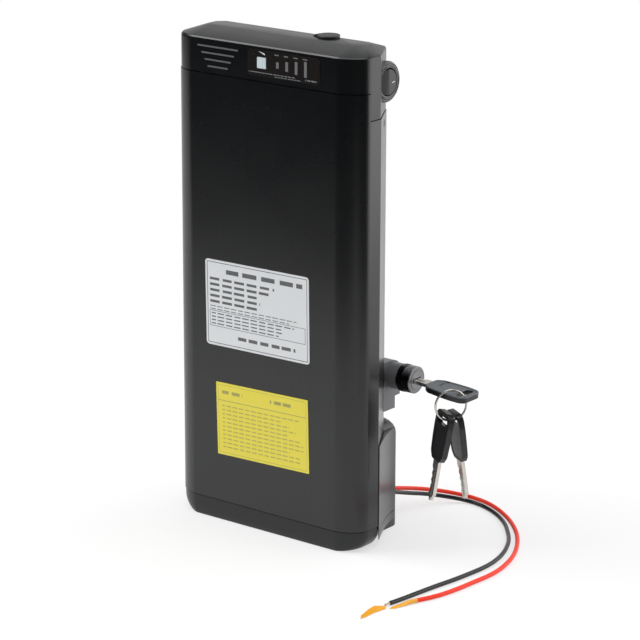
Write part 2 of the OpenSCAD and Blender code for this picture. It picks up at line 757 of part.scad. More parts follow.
// Nickel strips join each pair of cells on top of the two tiers.
module strip_set(grow = 0) {
    for (tier = [0, 1], k = [0:cells_across[tier] - 1])
        box([tier_x(tier, k) - strip_w / 2 - grow, -cell_row_y - strip_w / 2 - grow,
                tier_z[tier] + cell_l],
            [tier_x(tier, k) + strip_w / 2 + grow, cell_row_y + strip_w / 2 + grow,
                tier_z[tier] + cell_l + strip_t + grow]);
}

module strip_slots() {
    strip_set(part_gap);
}

module nickel_strips() color([0.75, 0.75, 0.73]) strip_set();

module bms_board() color([0.08, 0.25, 0.12]) union() {
    box([-bms_w / 2, bms_y, bms_foot_z], [bms_w / 2, bms_y + bms_t, bms_foot_z + bms_h]);
    for (s = [-1, 1]) box([s * (bms_w / 2 - bms_foot / 2) - bms_foot / 2, bms_y - bms_foot, bms_foot_z],
        [s * (bms_w / 2 - bms_foot / 2) + bms_foot / 2, bms_y + skin, bms_foot_z + bms_t]);
}

bms_foot_z = holder_upper_z + holder_t;
fet_w = 10;
fet_h = 9;
fet_t = 4.4;
fet_places = [-20, -7, 6, 19];
chip_w = 12;

module bms_parts() color([0.1, 0.1, 0.1]) union() {
    for (x = fet_places) box([x - fet_w / 2, bms_y - fet_t, bms_foot_z + bms_h - 2 * fet_h],
        [x + fet_w / 2, bms_y, bms_foot_z + bms_h - fet_h]);
    box([-chip_w / 2, bms_y - bms_t, bms_foot_z + bms_h / 3],
        [chip_w / 2, bms_y, bms_foot_z + bms_h / 3 + chip_w]);
}

lead_bottom = plug_bottom + floor_t + 2 * pack_lead_r;
lead_y = bolt_front - bolt_travel - seat_gap - pack_lead_r;

module pack_leads() color([0.7, 0.12, 0.1]) for (s = [-1, 1]) union() {
    rod_z(lead_bottom, bms_foot_z + bms_foot, s * pack_lead_x, lead_y, pack_lead_r);
    box([s * pack_lead_x - (s > 0 ? pack_lead_x - bms_w / 2 : 0), bms_y + bms_t, bms_foot_z + bms_t],
        [s * pack_lead_x + (s < 0 ? pack_lead_x - bms_w / 2 : 0), bms_y + 2 * bms_t,
            bms_foot_z + bms_foot]);
    box([s * pack_lead_x - pack_lead_r / 2, bms_y + bms_t, bms_foot_z + bms_t],
        [s * pack_lead_x + pack_lead_r / 2, lead_y, bms_foot_z + bms_foot]);
}

module foam_pad() color([0.25, 0.25, 0.27])
    box([-holder_half_w, -holder_half_d, foam_bottom], [holder_half_w, holder_half_d, holder_bottom]);

// The discharge plug hangs under the rib. Its slots open downwards over the receiver's blades.
slot_gap = 0.5;

module plug_slots(grow, z1) {
    for (x = blade_x)
        box([x - contact_w / 2 - grow, blade_y - contact_t / 2 - grow, plug_bottom - overrun],
            [x + contact_w / 2 + grow, blade_y + contact_t / 2 + grow, z1]);
}

blade_y = (half_d + rib_back) / 2;
slot_top = plug_bottom + contact_l + overrun;
clip_t = 0.6;

module discharge_plug() color([0.15, 0.15, 0.16]) difference() {
    union() {
        box([-plug_half_w, half_d, plug_bottom], [plug_half_w, rib_back, rib_bottom]);
        box([-plug_window_half_w + part_gap, half_d - shell_wall - skin, plug_bottom + floor_t + part_gap],
            [plug_window_half_w - part_gap, half_d + skin, rib_bottom - floor_t - part_gap]);
        box([-pack_lead_x - pack_lead_r, half_d - shell_wall - plug_flange_t, plug_bottom + floor_t],
            [pack_lead_x + pack_lead_r, half_d - shell_wall, plug_bottom + 3 * floor_t]);
    }
    plug_slots(slot_gap + clip_t, slot_top);
}

module plug_sockets() color([0.8, 0.65, 0.3]) difference() {
    plug_slots(slot_gap + clip_t - part_gap / 4, slot_top);
    translate([0, 0, -overrun]) plug_slots(slot_gap, slot_top);
    box([-plug_half_w, half_d, plug_bottom - 2 * overrun], [plug_half_w, rib_back, plug_bottom + part_gap]);
}

module receiver_rail() color([0.12, 0.12, 0.13]) difference() {
    prism(box_h, rail_top, [[-rail_half_w, rail_back], [-rail_half_w, lip_front],
        [-rib_web_half_w - slide_gap, lip_front], [-rib_web_half_w - slide_gap, lip_front + lip_t],
        [-rib_half_w - slide_gap, lip_front + lip_t], [-rib_half_w - slide_gap, rail_inner_y],
        [rib_half_w + slide_gap, rail_inner_y], [rib_half_w + slide_gap, lip_front + lip_t],
        [rib_web_half_w + slide_gap, lip_front + lip_t], [rib_web_half_w + slide_gap, lip_front],
        [rail_half_w, lip_front], [rail_half_w, rail_back]]);
    for (k = [0, 1]) {
        rod_y(rail_inner_y - overrun, rail_back + overrun, 0, mount_z + k * mount_pitch, mount_hole_r);
        rod_y(rail_inner_y - overrun, rail_inner_y + mount_sink, 0, mount_z + k * mount_pitch,
            2 * mount_hole_r);
    }
    for (x = [-1, 1]) rod_z(box_h - overrun, box_h + rail_screw_l + overrun, x * rail_screw_x, rail_screw_y,
        rail_screw_r);
}

mount_sink = 1.5;
rail_screw_l = 12;
rail_screw_x = (rail_half_w + rib_half_w + slide_gap) / 2;
rail_screw_y = (lip_front + rail_back) / 2;
rail_screw_r = 1.4;
rail_screw_head_r = 2.6;
rail_screw_head_l = 2;

// The wings hug the bevels of the pack and curve into the sides of the box.
module wing_outline() {
    tip_in = bevel_point(wing_tip_share, wing_gap);
    tip_out = bevel_point(wing_tip_share, wing_gap + wing_tip_t);
    root = bevel_point(1, wing_gap + wing_t);
    shoulder = bevel_point(1, wing_gap);
    inner_x = box_half_w - box_wall / 2;
    end = [box_half_w, wing_back_y];
    flank = [for (k = [0:wing_steps]) let (t = k / wing_steps)
        (1 - t) * (1 - t) * tip_out + 2 * t * (1 - t) * root + t * t * end];
    for (s = [0, 1]) mirror([s, 0, 0])
        polygon(concat([[inner_x, half_d + slide_gap], [shoulder.x - slide_gap, half_d + slide_gap], shoulder,
            tip_in], flank, [[inner_x, wing_back_y]]));
}

module receiver_body() hull() {
    for (a = [0:18:90]) translate([0, 0, box_h - 2 * skin - box_top_r * (1 - sin(a))]) linear_extrude(skin)
        box_section(box_top_r * (1 - cos(a)));
    translate([0, 0, base_h + seam_gap / 2]) linear_extrude(skin) box_section(0);
}

module box_section(inset) {
    x1 = box_half_w - inset;
    y1 = rail_back - (rail_back - rail_flat_y) * inset / box_top_r;
    r = box_corner_r;
    arc = [for (a = [0:15:90]) [x1 - r * (1 - cos(a)), y1 - r * (1 - sin(a))]];
    polygon(concat([[x1, half_d + slide_gap]], arc,
        [for (k = [len(arc) - 1:-1:0]) [-arc[k].x, arc[k].y]], [[-x1, half_d + slide_gap]]));
}

rail_flat_y = rail_back - box_top_r / 2;

module receiver_box() color([0.13, 0.13, 0.14]) difference() {
    union() {
        receiver_body();
        translate([0, 0, base_h + seam_gap / 2]) linear_extrude(wing_h - base_h - seam_gap / 2) wing_outline();
        box([-rail_half_w, lip_front, box_h - box_top_r], [rail_half_w, rail_back, box_h]);
    }
    box([-box_half_w + box_wall, half_d + slide_gap + box_wall, 0],
        [box_half_w - box_wall, rail_back - box_wall, box_h - box_top_r]);
    for (x = [-1, 1]) {
        rod_z(0, box_h + overrun, x * rail_screw_x, rail_screw_y, rail_screw_r + part_gap);
    }
    box([-plug_window_half_w - part_gap, blade_y - socket_half_d - part_gap, box_h - box_top_r - overrun],
        [plug_window_half_w + part_gap, blade_y + socket_half_d + part_gap, box_h + overrun]);
    gland_shape(rail_back - box_wall - overrun, rail_back + overrun, part_gap / 2);
}

socket_half_d = 2.5;
socket_proud = 2.5;
socket_tail = 12;

module receiver_base() color([0.13, 0.13, 0.14]) union() {
    linear_extrude(base_h - seam_gap / 2) box_section(0);
    translate([0, 0, wing_foot_z]) linear_extrude(base_h - seam_gap / 2 - wing_foot_z) wing_outline();
    box([-box_half_w + box_wall + part_gap, half_d + slide_gap + box_wall + part_gap, base_h - overrun],
        [box_half_w - box_wall - part_gap, rail_back - box_wall - part_gap, base_h + floor_t - overrun]);
}

module receiver_socket() color([0.3, 0.3, 0.32]) difference() {
    union() {
        box([-plug_window_half_w, blade_y - socket_half_d, box_h - box_top_r - socket_tail],
            [plug_window_half_w, blade_y + socket_half_d, box_h + socket_proud]);
        box([-plug_window_half_w - box_wall, half_d + slide_gap + box_wall + part_gap,
                box_h - box_top_r - floor_t],
            [plug_window_half_w + box_wall, blade_y + socket_half_d + box_wall, box_h - box_top_r]);
    }
    for (x = blade_x) box([x - contact_w / 2, blade_y - contact_t / 2, 0],
        [x + contact_w / 2, blade_y + contact_t / 2, rail_top]);
}

module receiver_blades() color([0.8, 0.65, 0.3]) for (x = blade_x)
    box([x - contact_w / 2, blade_y - contact_t / 2, box_h - box_top_r - socket_tail - contact_l / 2],
        [x + contact_w / 2, blade_y + contact_t / 2, box_h + socket_proud + contact_l]);

module receiver_screws() color([0.55, 0.55, 0.57]) for (x = [-1, 1]) union() {
    rod_z(box_h - box_top_r - skin, box_h + rail_screw_l, x * rail_screw_x, rail_screw_y,
        rail_screw_r - part_gap / 4);
    rod_z(box_h - box_top_r - rail_screw_head_l, box_h - box_top_r, x * rail_screw_x, rail_screw_y,
        rail_screw_head_r);
}

module gland_shape(y0, y1, grow = 0) {
    translate([gland_x, y1, gland_z]) rotate([90, 0, 0]) linear_extrude(y1 - y0) {
        square([gland_pitch, 2 * gland_r + 2 * grow], center = true);
        for (s = [-1, 1]) translate([s * gland_pitch / 2, 0]) circle(gland_r + grow, $fn = medium);
    }
}

module wire_gland() color([0.06, 0.06, 0.06]) union() {
    gland_shape(rail_back - box_wall - part_gap, rail_back + gland_l);
    gland_shape(rail_back, rail_back + gland_l / 3, gland_r / 4);
}

// The lock block stands beside the rail and carries the barrel and the bolt.
module lock_block() color([0.14, 0.14, 0.15]) difference() {
    union() {
        box([block_x0, block_front, block_leg_z0], [block_leg_x1, block_front + block_leg_d, lock_z]);
        intersection() {
            rod_x(block_x0, block_face_x, lock_y, lock_z, block_r);
            box([block_x0 - overrun, block_front, lock_z - 2 * block_r],
                [block_face_x + overrun, rail_back, lock_z + 2 * block_r]);
        }
        box([block_x0, block_front, lock_z], [block_leg_x1, lock_y, lock_z + block_r]);
        box([block_x0, lock_y, lock_z - block_rear_drop], [block_leg_x1, rail_back, lock_z]);
        rod_x(block_face_x - skin, block_x1, lock_y, lock_z, collar_r);
    }
    box([bolt_x - bolt_half_w - bolt_gap, bolt_body_y - bolt_travel - bolt_gap, lock_z - bolt_half_h - bolt_gap],
        [bolt_x + bolt_half_w + bolt_gap, bolt_back + bolt_gap, lock_z + bolt_half_h + bolt_gap]);
    rod_y(block_front - overrun, bolt_body_y, bolt_x, lock_z, bolt_tip_r + part_gap);
    rod_x(bolt_x, barrel_back_x + skin, lock_y, lock_z, cam_orbit + 2 * cam_r);
    rod_x(barrel_back_x, block_x1 + overrun, lock_y, lock_z, barrel_body_r + part_gap / 2);
}

thread_rings = floor((lock_face_x - head_back_x) / thread_pitch) - 1;

module lock_barrel() color([0.1, 0.1, 0.11])
    translate([0, lock_y, lock_z]) rotate([0, 90, 0]) difference() {
        rotate_extrude($fn = fine) polygon(concat([[0, barrel_back_x], [barrel_body_r, barrel_back_x],
            [barrel_body_r, head_back_x]],
            [for (k = [0:thread_rings - 1]) each [
                [lock_head_r, head_back_x + k * thread_pitch],
                [lock_head_r, head_back_x + (k + thread_shares[0]) * thread_pitch],
                [lock_head_r - thread_depth, head_back_x + (k + thread_shares[1]) * thread_pitch],
                [lock_head_r - thread_depth, head_back_x + (k + thread_shares[2]) * thread_pitch]]],
            [[lock_head_r, lock_face_x - thread_pitch], [lock_head_r, lock_face_x - thread_depth],
             [lock_head_r - thread_depth, lock_face_x], [0, lock_face_x]]));
        translate([0, 0, barrel_back_x - overrun])
            cylinder(h = lock_face_x - barrel_back_x + 2 * overrun, r = plug_r + shaft_gap, $fn = fine);
    }

module lock_nut() color([0.3, 0.3, 0.32]) translate([block_x1 + nut_gap, lock_y, lock_z]) rotate([0, 90, 0])
    difference() {
        intersection() {
            rotate(30) cylinder(h = nut_l, r = nut_flats / sqrt(3), $fn = 6);
            cylinder(h = nut_l, r = nut_r, $fn = fine);
        }
        translate([0, 0, -overrun]) cylinder(h = nut_l + 2 * overrun, r = barrel_body_r + part_gap / 2,
            $fn = fine);
    }

module at_lock() {
    translate([lock_face_x, lock_y, lock_z]) rotate([0, key_droop, 0]) children();
}

module lock_plug() color([0.55, 0.55, 0.57]) union() {
    difference() {
        rod_x(plug_back_x, lock_face_x + part_gap, lock_y, lock_z, plug_r);
        at_lock() box([-keyway_l, -blade_w / 2 - keyway_gap, -blade_t / 2 - keyway_gap],
            [2 * overrun, blade_w / 2 + keyway_gap, blade_t / 2 + keyway_gap]);
    }
    rod_x(bolt_x + bolt_half_w - cam_bite, plug_back_x + skin, lock_y + cam_orbit / sqrt(2),
        lock_z + cam_orbit / sqrt(2), cam_r);
}

module lock_bolt() color([0.7, 0.7, 0.72]) difference() {
    union() {
        box([bolt_x - bolt_half_w, bolt_body_y, lock_z - bolt_half_h],
            [bolt_x + bolt_half_w, bolt_back, lock_z + bolt_half_h]);
        rod_y(bolt_front, bolt_body_y + skin, bolt_x, lock_z, bolt_tip_r);
    }
    box([bolt_x + bolt_half_w - cam_bite - bolt_gap, lock_y + bolt_travel / 2 - cam_r - bolt_gap,
            lock_z - 2 * bolt_half_h],
        [bolt_x + 2 * bolt_half_w, lock_y + bolt_travel / 2 + cam_r + bolt_gap, lock_z + 2 * bolt_half_h]);
}

// A key lies along X with its ring slot at the origin: the blade points to -X.
function head_outline(inset) = let (
    w = key_head_w / 2 - inset,
    x0 = -head_from_slot + inset,
    x1 = slot_from_end - inset,
    upper = [for (p = head_shares) [x0 + p.x * (x1 - x0), p.y * w]])
    concat(upper, [for (k = [len(upper) - 1:-1:0]) [upper[k].x, -upper[k].y]]);

module head_shape() difference() {
    hull() {
        prism(-key_head_t / 2 + head_lip, key_head_t / 2 - head_lip, head_outline(0));
        prism(-key_head_t / 2, key_head_t / 2, head_outline(head_lip));
    }
    translate([0, 0, -key_head_t]) linear_extrude(2 * key_head_t) {
        square([2 * slot_half_w, 2 * (slot_half_l - slot_half_w)], center = true);
        for (s = [-1, 1]) translate([0, s * (slot_half_l - slot_half_w)]) circle(slot_half_w, $fn = medium);
    }
}

blade_cut_shares = [0, 0.24, 0.1, 0.3, 0.14, 0.34, 0.2, 0.28, 0.1];
blade_tip_share = 0.18;
blade_point_share = 0.1;

module blade_shape() {
    n = len(blade_cut_shares) - 1;
    x1 = -head_from_slot;
    x0 = -key_tip_from_slot;
    cut_l = blade_l * (1 - 2 * blade_tip_share);
    cuts = [for (k = [0:n]) [x1 - blade_tip_share * blade_l - cut_l * k / n,
        blade_w / 2 - blade_cut_shares[k] * blade_w]];
    prism(-blade_t / 2, blade_t / 2, concat([[x1, -blade_w / 2], [x1, blade_w / 2]], cuts,
        [[x0, blade_point_share * blade_w], [x0, -blade_point_share * blade_w],
         [x0 + blade_tip_share * blade_l, -blade_w / 2]]));
}

module key_head() color([0.22, 0.23, 0.25]) at_lock() translate([key_slot_x, 0, 0]) head_shape();

module key_blade() color([0.8, 0.77, 0.7]) at_lock() translate([key_slot_x, 0, 0]) blade_shape();

module key_ring() color([0.8, 0.78, 0.72]) translate(ring_centre) rotate([0, 0, ring_yaw])
    rotate([90, 0, 0]) rotate_extrude($fn = fine) translate([ring_r, 0]) circle(ring_wire / 2, $fn = 24);

module hang(a, tilt) {
    translate(ring_point(a)) rotate([0, 0, ring_yaw]) rotate([0, tilt, 0]) rotate([0, 0, spare_turn])
        rotate([0, -90, 0]) translate([-spare_rest, 0, 0]) children();
}

module spare_head_a() color([0.08, 0.08, 0.09]) hang(spare_angle_a, spare_tilt_a) head_shape();

module spare_blade_a() color([0.8, 0.77, 0.7]) hang(spare_angle_a, spare_tilt_a) blade_shape();

module spare_head_b() color([0.08, 0.08, 0.09]) hang(spare_angle_b, spare_tilt_b) head_shape();

module spare_blade_b() color([0.8, 0.77, 0.7]) hang(spare_angle_b, spare_tilt_b) blade_shape();

function unit(v) = v / norm(v);

// A lead is one tube swept along its points, with rings square to the route.
module lead(points) {
    n = len(points);
    heading = [for (k = [0:n - 1]) unit(points[min(k + 1, n - 1)] - points[max(k - 1, 0)])];
    side = [for (h = heading) unit(cross(h, [0, 0, 1]))];
    rings = [for (k = [0:n - 1], j = [0:lead_sides - 1]) let (a = 360 * (j + 0.5) / lead_sides)
        points[k] + lead_d / 2 * (cos(a) * side[k] + sin(a) * cross(side[k], heading[k]))];
    walls = [for (k = [0:n - 2], j = [0:lead_sides - 1]) let (
        a = k * lead_sides + j,
        b = k * lead_sides + (j + 1) % lead_sides)
        each [[a, b, b + lead_sides], [a, b + lead_sides, a + lead_sides]]];
    ends = [[for (j = [lead_sides - 1:-1:0]) j], [for (j = [0:lead_sides - 1]) (n - 1) * lead_sides + j]];
    polyhedron(rings, concat(walls, ends));
}

module red_lead() color([0.9, 0.25, 0.15]) lead(red_points);

module black_lead() color([0.1, 0.12, 0.14]) lead(black_points);

function last_point(points) = points[len(points) - 1];
function end_heading(points) = unit(last_point(points) - points[len(points) - 2]);

module at_end(points) {
    h = end_heading(points);
    translate(last_point(points)) rotate([0, 0, atan2(h.y, h.x)]) children();
}

red_tape_l = 17;
flag_l = 22;
strand_l = 4;
strand_r = 0.9;
flag_shares = [[0, -0.04], [0.17, -0.2], [0.83, 0.03], [0.97, 0.16], [0.47, 0.1], [0.08, 0.1], [0, 0.04]];

module red_tape() color([0.95, 0.65, 0.15]) at_end(red_points) union() {
    box([0, -tape_w / 2, -lead_d / 2], [red_tape_l, tape_w / 2, -lead_d / 2 + tape_t]);
    rotate([0, 90, 0]) cylinder(h = red_tape_l / 2, r = lead_d / 2, $fn = medium);
}

module black_strands() color([0.75, 0.7, 0.62]) at_end(black_points)
    rotate([0, 90, 0]) cylinder(h = strand_l, r = strand_r, $fn = medium);

module black_tape() color([0.95, 0.68, 0.1]) at_end(black_points) translate([strand_l, 0, -lead_d / 2])
    linear_extrude(2 * tape_t) polygon([for (p = flag_shares) [p.x * flag_l, p.y * flag_l]]);

body_shell();
top_cap();
foot_cap();
cap_screws();
foot_screws();
slide_rib();
rib_screws();
upper_label();
lower_label();
indicator_window();
light_bars();
indicator_board();
test_button();
port_cover();
charge_socket();
switch_bezel();
switch_rocker();
switch_terminals();
holder_lower();
holder_middle();
holder_upper();
cells();
nickel_strips();
bms_board();
bms_parts();
pack_leads();
foam_pad();
discharge_plug();
plug_sockets();
receiver_rail();
receiver_box();
receiver_base();
receiver_socket();
receiver_blades();
receiver_screws();
wire_gland();
lock_block();
lock_barrel();
lock_nut();
lock_plug();
lock_bolt();
key_blade();
key_head();
key_ring();
spare_blade_a();
spare_head_a();
spare_blade_b();
spare_head_b();
red_lead();
black_lead();
red_tape();
black_strands();
black_tape();
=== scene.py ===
import json
import math

import bmesh
import bpy
from mathutils import Matrix, Vector


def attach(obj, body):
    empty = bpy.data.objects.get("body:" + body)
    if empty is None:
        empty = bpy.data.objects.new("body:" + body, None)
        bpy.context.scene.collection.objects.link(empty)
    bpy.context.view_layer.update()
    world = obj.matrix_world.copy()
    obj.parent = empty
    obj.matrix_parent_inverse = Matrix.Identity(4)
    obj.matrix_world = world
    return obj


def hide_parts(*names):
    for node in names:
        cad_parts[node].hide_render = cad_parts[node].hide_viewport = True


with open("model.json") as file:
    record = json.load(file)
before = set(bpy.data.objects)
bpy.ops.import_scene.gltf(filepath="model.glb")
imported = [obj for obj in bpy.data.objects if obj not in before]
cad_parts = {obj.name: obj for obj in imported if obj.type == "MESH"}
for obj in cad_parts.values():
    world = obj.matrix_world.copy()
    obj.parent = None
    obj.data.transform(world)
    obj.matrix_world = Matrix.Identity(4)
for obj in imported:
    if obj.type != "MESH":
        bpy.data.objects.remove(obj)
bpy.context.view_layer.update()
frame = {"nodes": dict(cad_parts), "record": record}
nodes = frame["nodes"]
print("stage: frame loaded")

mm = 0.001  # sizes below are written in millimetres


def turn(degrees, axis):
    return Matrix.Rotation(math.radians(degrees), 4, axis)


def shift(x, y, z):
    return Matrix.Translation((x * mm, y * mm, z * mm))


camera = {
    "azimuth": 37.88,
    "elevation": 16.31,
    "roll": 0.17,
    "distance": 1619,
    "aim": (0, -22, 130),
    "slide": (32.15, -3.75),
    "focalShare": 2900 / 640,  # focal length over the width of the frame
    "sensor": 36,
    "clip": (0.05, 50),  # metres
}


def placeCamera(c):
    a, e, r = (math.radians(c[k]) for k in ("azimuth", "elevation", "roll"))
    ahead = Vector((-math.sin(a) * math.cos(e), math.cos(a) * math.cos(e), -math.sin(e)))
    right = Vector((math.cos(a), math.sin(a), 0))
    up = right.cross(ahead)
    right, up = right * math.cos(r) + up * math.sin(r), up * math.cos(r) - right * math.sin(r)
    spot = Vector(c["aim"]) - ahead * c["distance"] + right * c["slide"][0] + up * c["slide"][1]
    data = bpy.data.cameras.new("camera")
    data.sensor_width = c["sensor"]
    data.lens = c["sensor"] * c["focalShare"]
    data.clip_start, data.clip_end = c["clip"]
    obj = bpy.data.objects.new("camera", data)
    obj.matrix_world = Matrix.Translation(spot * mm) @ Matrix((right, up, -ahead)).transposed().to_4x4()
    bpy.context.scene.collection.objects.link(obj)
    bpy.context.scene.camera = obj


placeCamera(camera)
print("stage: camera placed")


class Wire:
    # a socket that can stand in a sum, where it adds Math nodes
    def __init__(self, paint, socket):
        self.paint, self.socket = paint, socket

    def work(self, operation, other=None, flip=False):
        terms = [self] if other is None else [other, self] if flip else [self, other]
        return self.paint.node("ShaderNodeMath", {"operation": operation}, dict(enumerate(terms)))

    def __add__(self, other): return self.work("ADD", other)
    def __radd__(self, other): return self.work("ADD", other)
    def __sub__(self, other): return self.work("SUBTRACT", other)
    def __rsub__(self, other): return self.work("SUBTRACT", other, True)
    def __mul__(self, other): return self.work("MULTIPLY", other)
    def __rmul__(self, other): return self.work("MULTIPLY", other)
    def __truediv__(self, other): return self.work("DIVIDE", other)
    def __lt__(self, other): return self.work("LESS_THAN", other)
    def __gt__(self, other): return self.work("GREATER_THAN", other)
    def __abs__(self): return self.work("ABSOLUTE")
    def fraction(self): return self.work("FRACT")
    def whole(self): return self.work("FLOOR")
    def either(self, other): return self.work("MAXIMUM", other)


class Paint:
    # one material, built from plain values and sums of wires
    def __init__(self, name, **sockets):
        self.material = bpy.data.materials.new(name)
        self.material.use_nodes = True
        self.tree = self.material.node_tree
        self.tree.nodes.clear()
        self.shader = self.tree.nodes.new("ShaderNodeBsdfPrincipled")
        self.output = self.tree.nodes.new("ShaderNodeOutputMaterial")
        self.tree.links.new(self.shader.outputs[0], self.output.inputs["Surface"])
        self.give(**sockets)

    def give(self, **sockets):
        for key, value in sockets.items():
            self.feed(self.shader.inputs[key.replace("_", " ")], value)

    def feed(self, socket, value):
        if isinstance(value, Wire):
            self.tree.links.new(value.socket, socket)
        elif hasattr(socket.default_value, "__len__") and len(value) < len(socket.default_value):
            socket.default_value = (*value, 1)
        else:
            socket.default_value = value

    def node(self, kind, settings=None, sockets=None, output=0):
        made = self.tree.nodes.new(kind)
        for key, value in (settings or {}).items():
            setattr(made, key, value)
        for key, value in (sockets or {}).items():
            self.feed(made.inputs[key], value)
        return Wire(self, made.outputs[output])

    def where(self, stretch):
        start = self.node("ShaderNodeTexCoord", output="Object")
        return self.node("ShaderNodeMapping", None, {"Vector": start, "Scale": stretch})

    def noise(self, size, detail, stretch=(1, 1, 1), rough=0.5):
        # size is the width of one lump in millimetres
        return self.node("ShaderNodeTexNoise", None, {"Vector": self.where(stretch), "Scale": 1 / (size * mm),
                                                      "Detail": detail, "Roughness": rough})

    def touched(self, tone, accent):
        # lays each of the accent's masked tones over the tone
        for mask, other in accent(self) if accent else []:
            tone = self.mix(mask, tone, other)
        return tone

    def mix(self, mask, first, second):
        return self.node("ShaderNodeMix", {"data_type": "RGBA"}, {0: mask, 6: first, 7: second}, 2)

    def bump(self, height, depth, strength):
        return self.node("ShaderNodeBump", None,
                         {"Height": height, "Distance": depth * mm, "Strength": strength})

    def ray(self, kind):
        return self.node("ShaderNodeLightPath", output=kind)

    def step(self, value, low, high):
        return self.node("ShaderNodeMapRange", {"interpolation_type": "SMOOTHSTEP"},
                         {"Value": value, "From Min": low, "From Max": high})


def paler(colour, times, lift=0):
    return tuple(min(1, c * times + lift) for c in colour)


# in each finish, sizes and depths are in millimetres and the rest are shares
mouldedSkin = {"grain": 0.35, "depth": 0.02, "strength": 0.5, "cloud": 22, "cloudRough": 0.12,
               "dust": 1.4, "dustFrom": (0.68, 0.8), "dustTone": 0.35, "dustRough": 0.08,
               "pale": (1.9, 0.012)}


def moulded(name, colour, rough, accent=None):
    # fine spark-eroded grain, with faint cloudiness in the gloss, and another tone where accent says
    m = mouldedSkin
    p = Paint(name)
    cloud = p.noise(m["cloud"], 3)
    dust = p.step(p.noise(m["dust"], 4, rough=0.7), *m["dustFrom"])
    tone = p.mix(dust * m["dustTone"], colour, paler(colour, *m["pale"]))
    p.give(Base_Color=p.touched(tone, accent),
           Roughness=cloud * m["cloudRough"] + (rough - m["cloudRough"] / 2) + dust * m["dustRough"],
           Normal=p.bump(p.noise(m["grain"], 3), m["depth"], m["strength"]))
    return p.material


coatSkin = {"peel": 1.6, "ripple": 0.45, "peelShare": 0.7, "depth": 0.03, "strength": 0.35,
            "cloud": 35, "cloudRough": 0.1, "rough": 0.27, "shine": 0.62,
            "rub": 0.9, "rubStretch": (1, 1, 0.08), "rubFrom": (0.66, 0.8), "rubTone": 0.4, "rubRough": 0.05,
            "pale": (1.5, 0.006)}


def coated(name, colour):
    # satin powder coat: broad orange peel with a finer ripple on it, rubbed along the case
    c = coatSkin
    p = Paint(name)
    peel = p.noise(c["peel"], 2) * c["peelShare"] + p.noise(c["ripple"], 2) * (1 - c["peelShare"])
    cloud = p.noise(c["cloud"], 3)
    rub = p.step(p.noise(c["rub"], 5, c["rubStretch"], 0.65), *c["rubFrom"])
    p.give(Base_Color=p.mix(rub * c["rubTone"], colour, paler(colour, *c["pale"])),
           Roughness=cloud * c["cloudRough"] + (c["rough"] - c["cloudRough"] / 2) + rub * c["rubRough"],
           Normal=p.bump(peel, c["depth"], c["strength"]), Specular_IOR_Level=c["shine"])
    return p.material


glossSkin = {"haze": 6, "hazeRough": 0.08, "smoother": 0.03, "wave": 3.5, "depth": 0.01, "strength": 0.4,
             "pale": 1.25, "coatRough": 0.06}


def gloss(name, colour, rough, level=0.5, coat=0.4, accent=None):
    # polished plastic or film, with a faint haze
    g = glossSkin
    p = Paint(name)
    haze = p.noise(g["haze"], 3)
    tone = p.mix(haze, colour, paler(colour, g["pale"]))
    p.give(Base_Color=p.touched(tone, accent), Roughness=haze * g["hazeRough"] + (rough - g["smoother"]),
           Normal=p.bump(p.noise(g["wave"], 2), g["depth"], g["strength"]), Specular_IOR_Level=level,
           Coat_Weight=coat, Coat_Roughness=g["coatRough"])
    return p.material


metalSkin = {"line": 0.25, "brush": (1, 1, 0.06), "lineRough": 0.16, "stain": 4, "stainRough": 0.06,
             "stainDark": 0.75, "depth": 0.01, "strength": 0.5}


def metal(name, colour, rough, shine=1, accent=None):
    # drawn or rolled metal: long fine lines, stained in patches
    m = metalSkin
    p = Paint(name)
    lines = p.noise(m["line"], 4, m["brush"], 0.7)
    stain = p.noise(m["stain"], 3)
    tone = p.mix(stain, colour, paler(colour, m["stainDark"]))
    p.give(Base_Color=p.touched(tone, accent), Metallic=shine,
           Roughness=lines * m["lineRough"] + (rough - m["lineRough"] / 2) + stain * m["stainRough"],
           Normal=p.bump(lines, m["depth"], m["strength"]))
    return p.material


rubberSkin = {"skin": 0.7, "depth": 0.02, "strength": 0.5, "bloom": 5, "bloomFrom": (0.45, 0.75),
              "bloomTone": 0.5, "bloomRough": 0.12, "smoother": 0.05, "pale": (1.3, 0.01)}


def rubberLike(name, colour, rough=0.55):
    # dull skin with a pale bloom on it
    r = rubberSkin
    p = Paint(name)
    skin = p.noise(r["skin"], 4, rough=0.65)
    bloom = p.step(p.noise(r["bloom"], 3), *r["bloomFrom"])
    p.give(Base_Color=p.mix(bloom * r["bloomTone"], colour, paler(colour, *r["pale"])),
           Roughness=bloom * r["bloomRough"] + (rough - r["smoother"]),
           Normal=p.bump(skin, r["depth"], r["strength"]))
    return p.material


sleeveSkin = {"streak": 2.2, "streakRough": 0.12, "smoother": 0.05, "grain": 0.5, "depth": 0.015,
              "strength": 0.4, "coatRough": 0.15}


def sleeve(name, colour, pale, rough=0.4, coat=0.04, level=0.3):
    # silicone wire sleeve: long soft streaks
    w = sleeveSkin
    p = Paint(name)
    streak = p.noise(w["streak"], 3)
    p.give(Base_Color=p.mix(streak, colour, pale),
           Roughness=streak * w["streakRough"] + (rough - w["smoother"]),
           Normal=p.bump(p.noise(w["grain"], 2), w["depth"], w["strength"]),
           Coat_Weight=coat, Coat_Roughness=w["coatRough"], Specular_IOR_Level=level)
    return p.material


def inMillimetres(p):
    # the three object coordinates in millimetres
    xyz = p.node("ShaderNodeTexCoord", output="Object")
    return [p.node("ShaderNodeSeparateXYZ", None, {0: xyz}, axis) / mm for axis in "XYZ"]


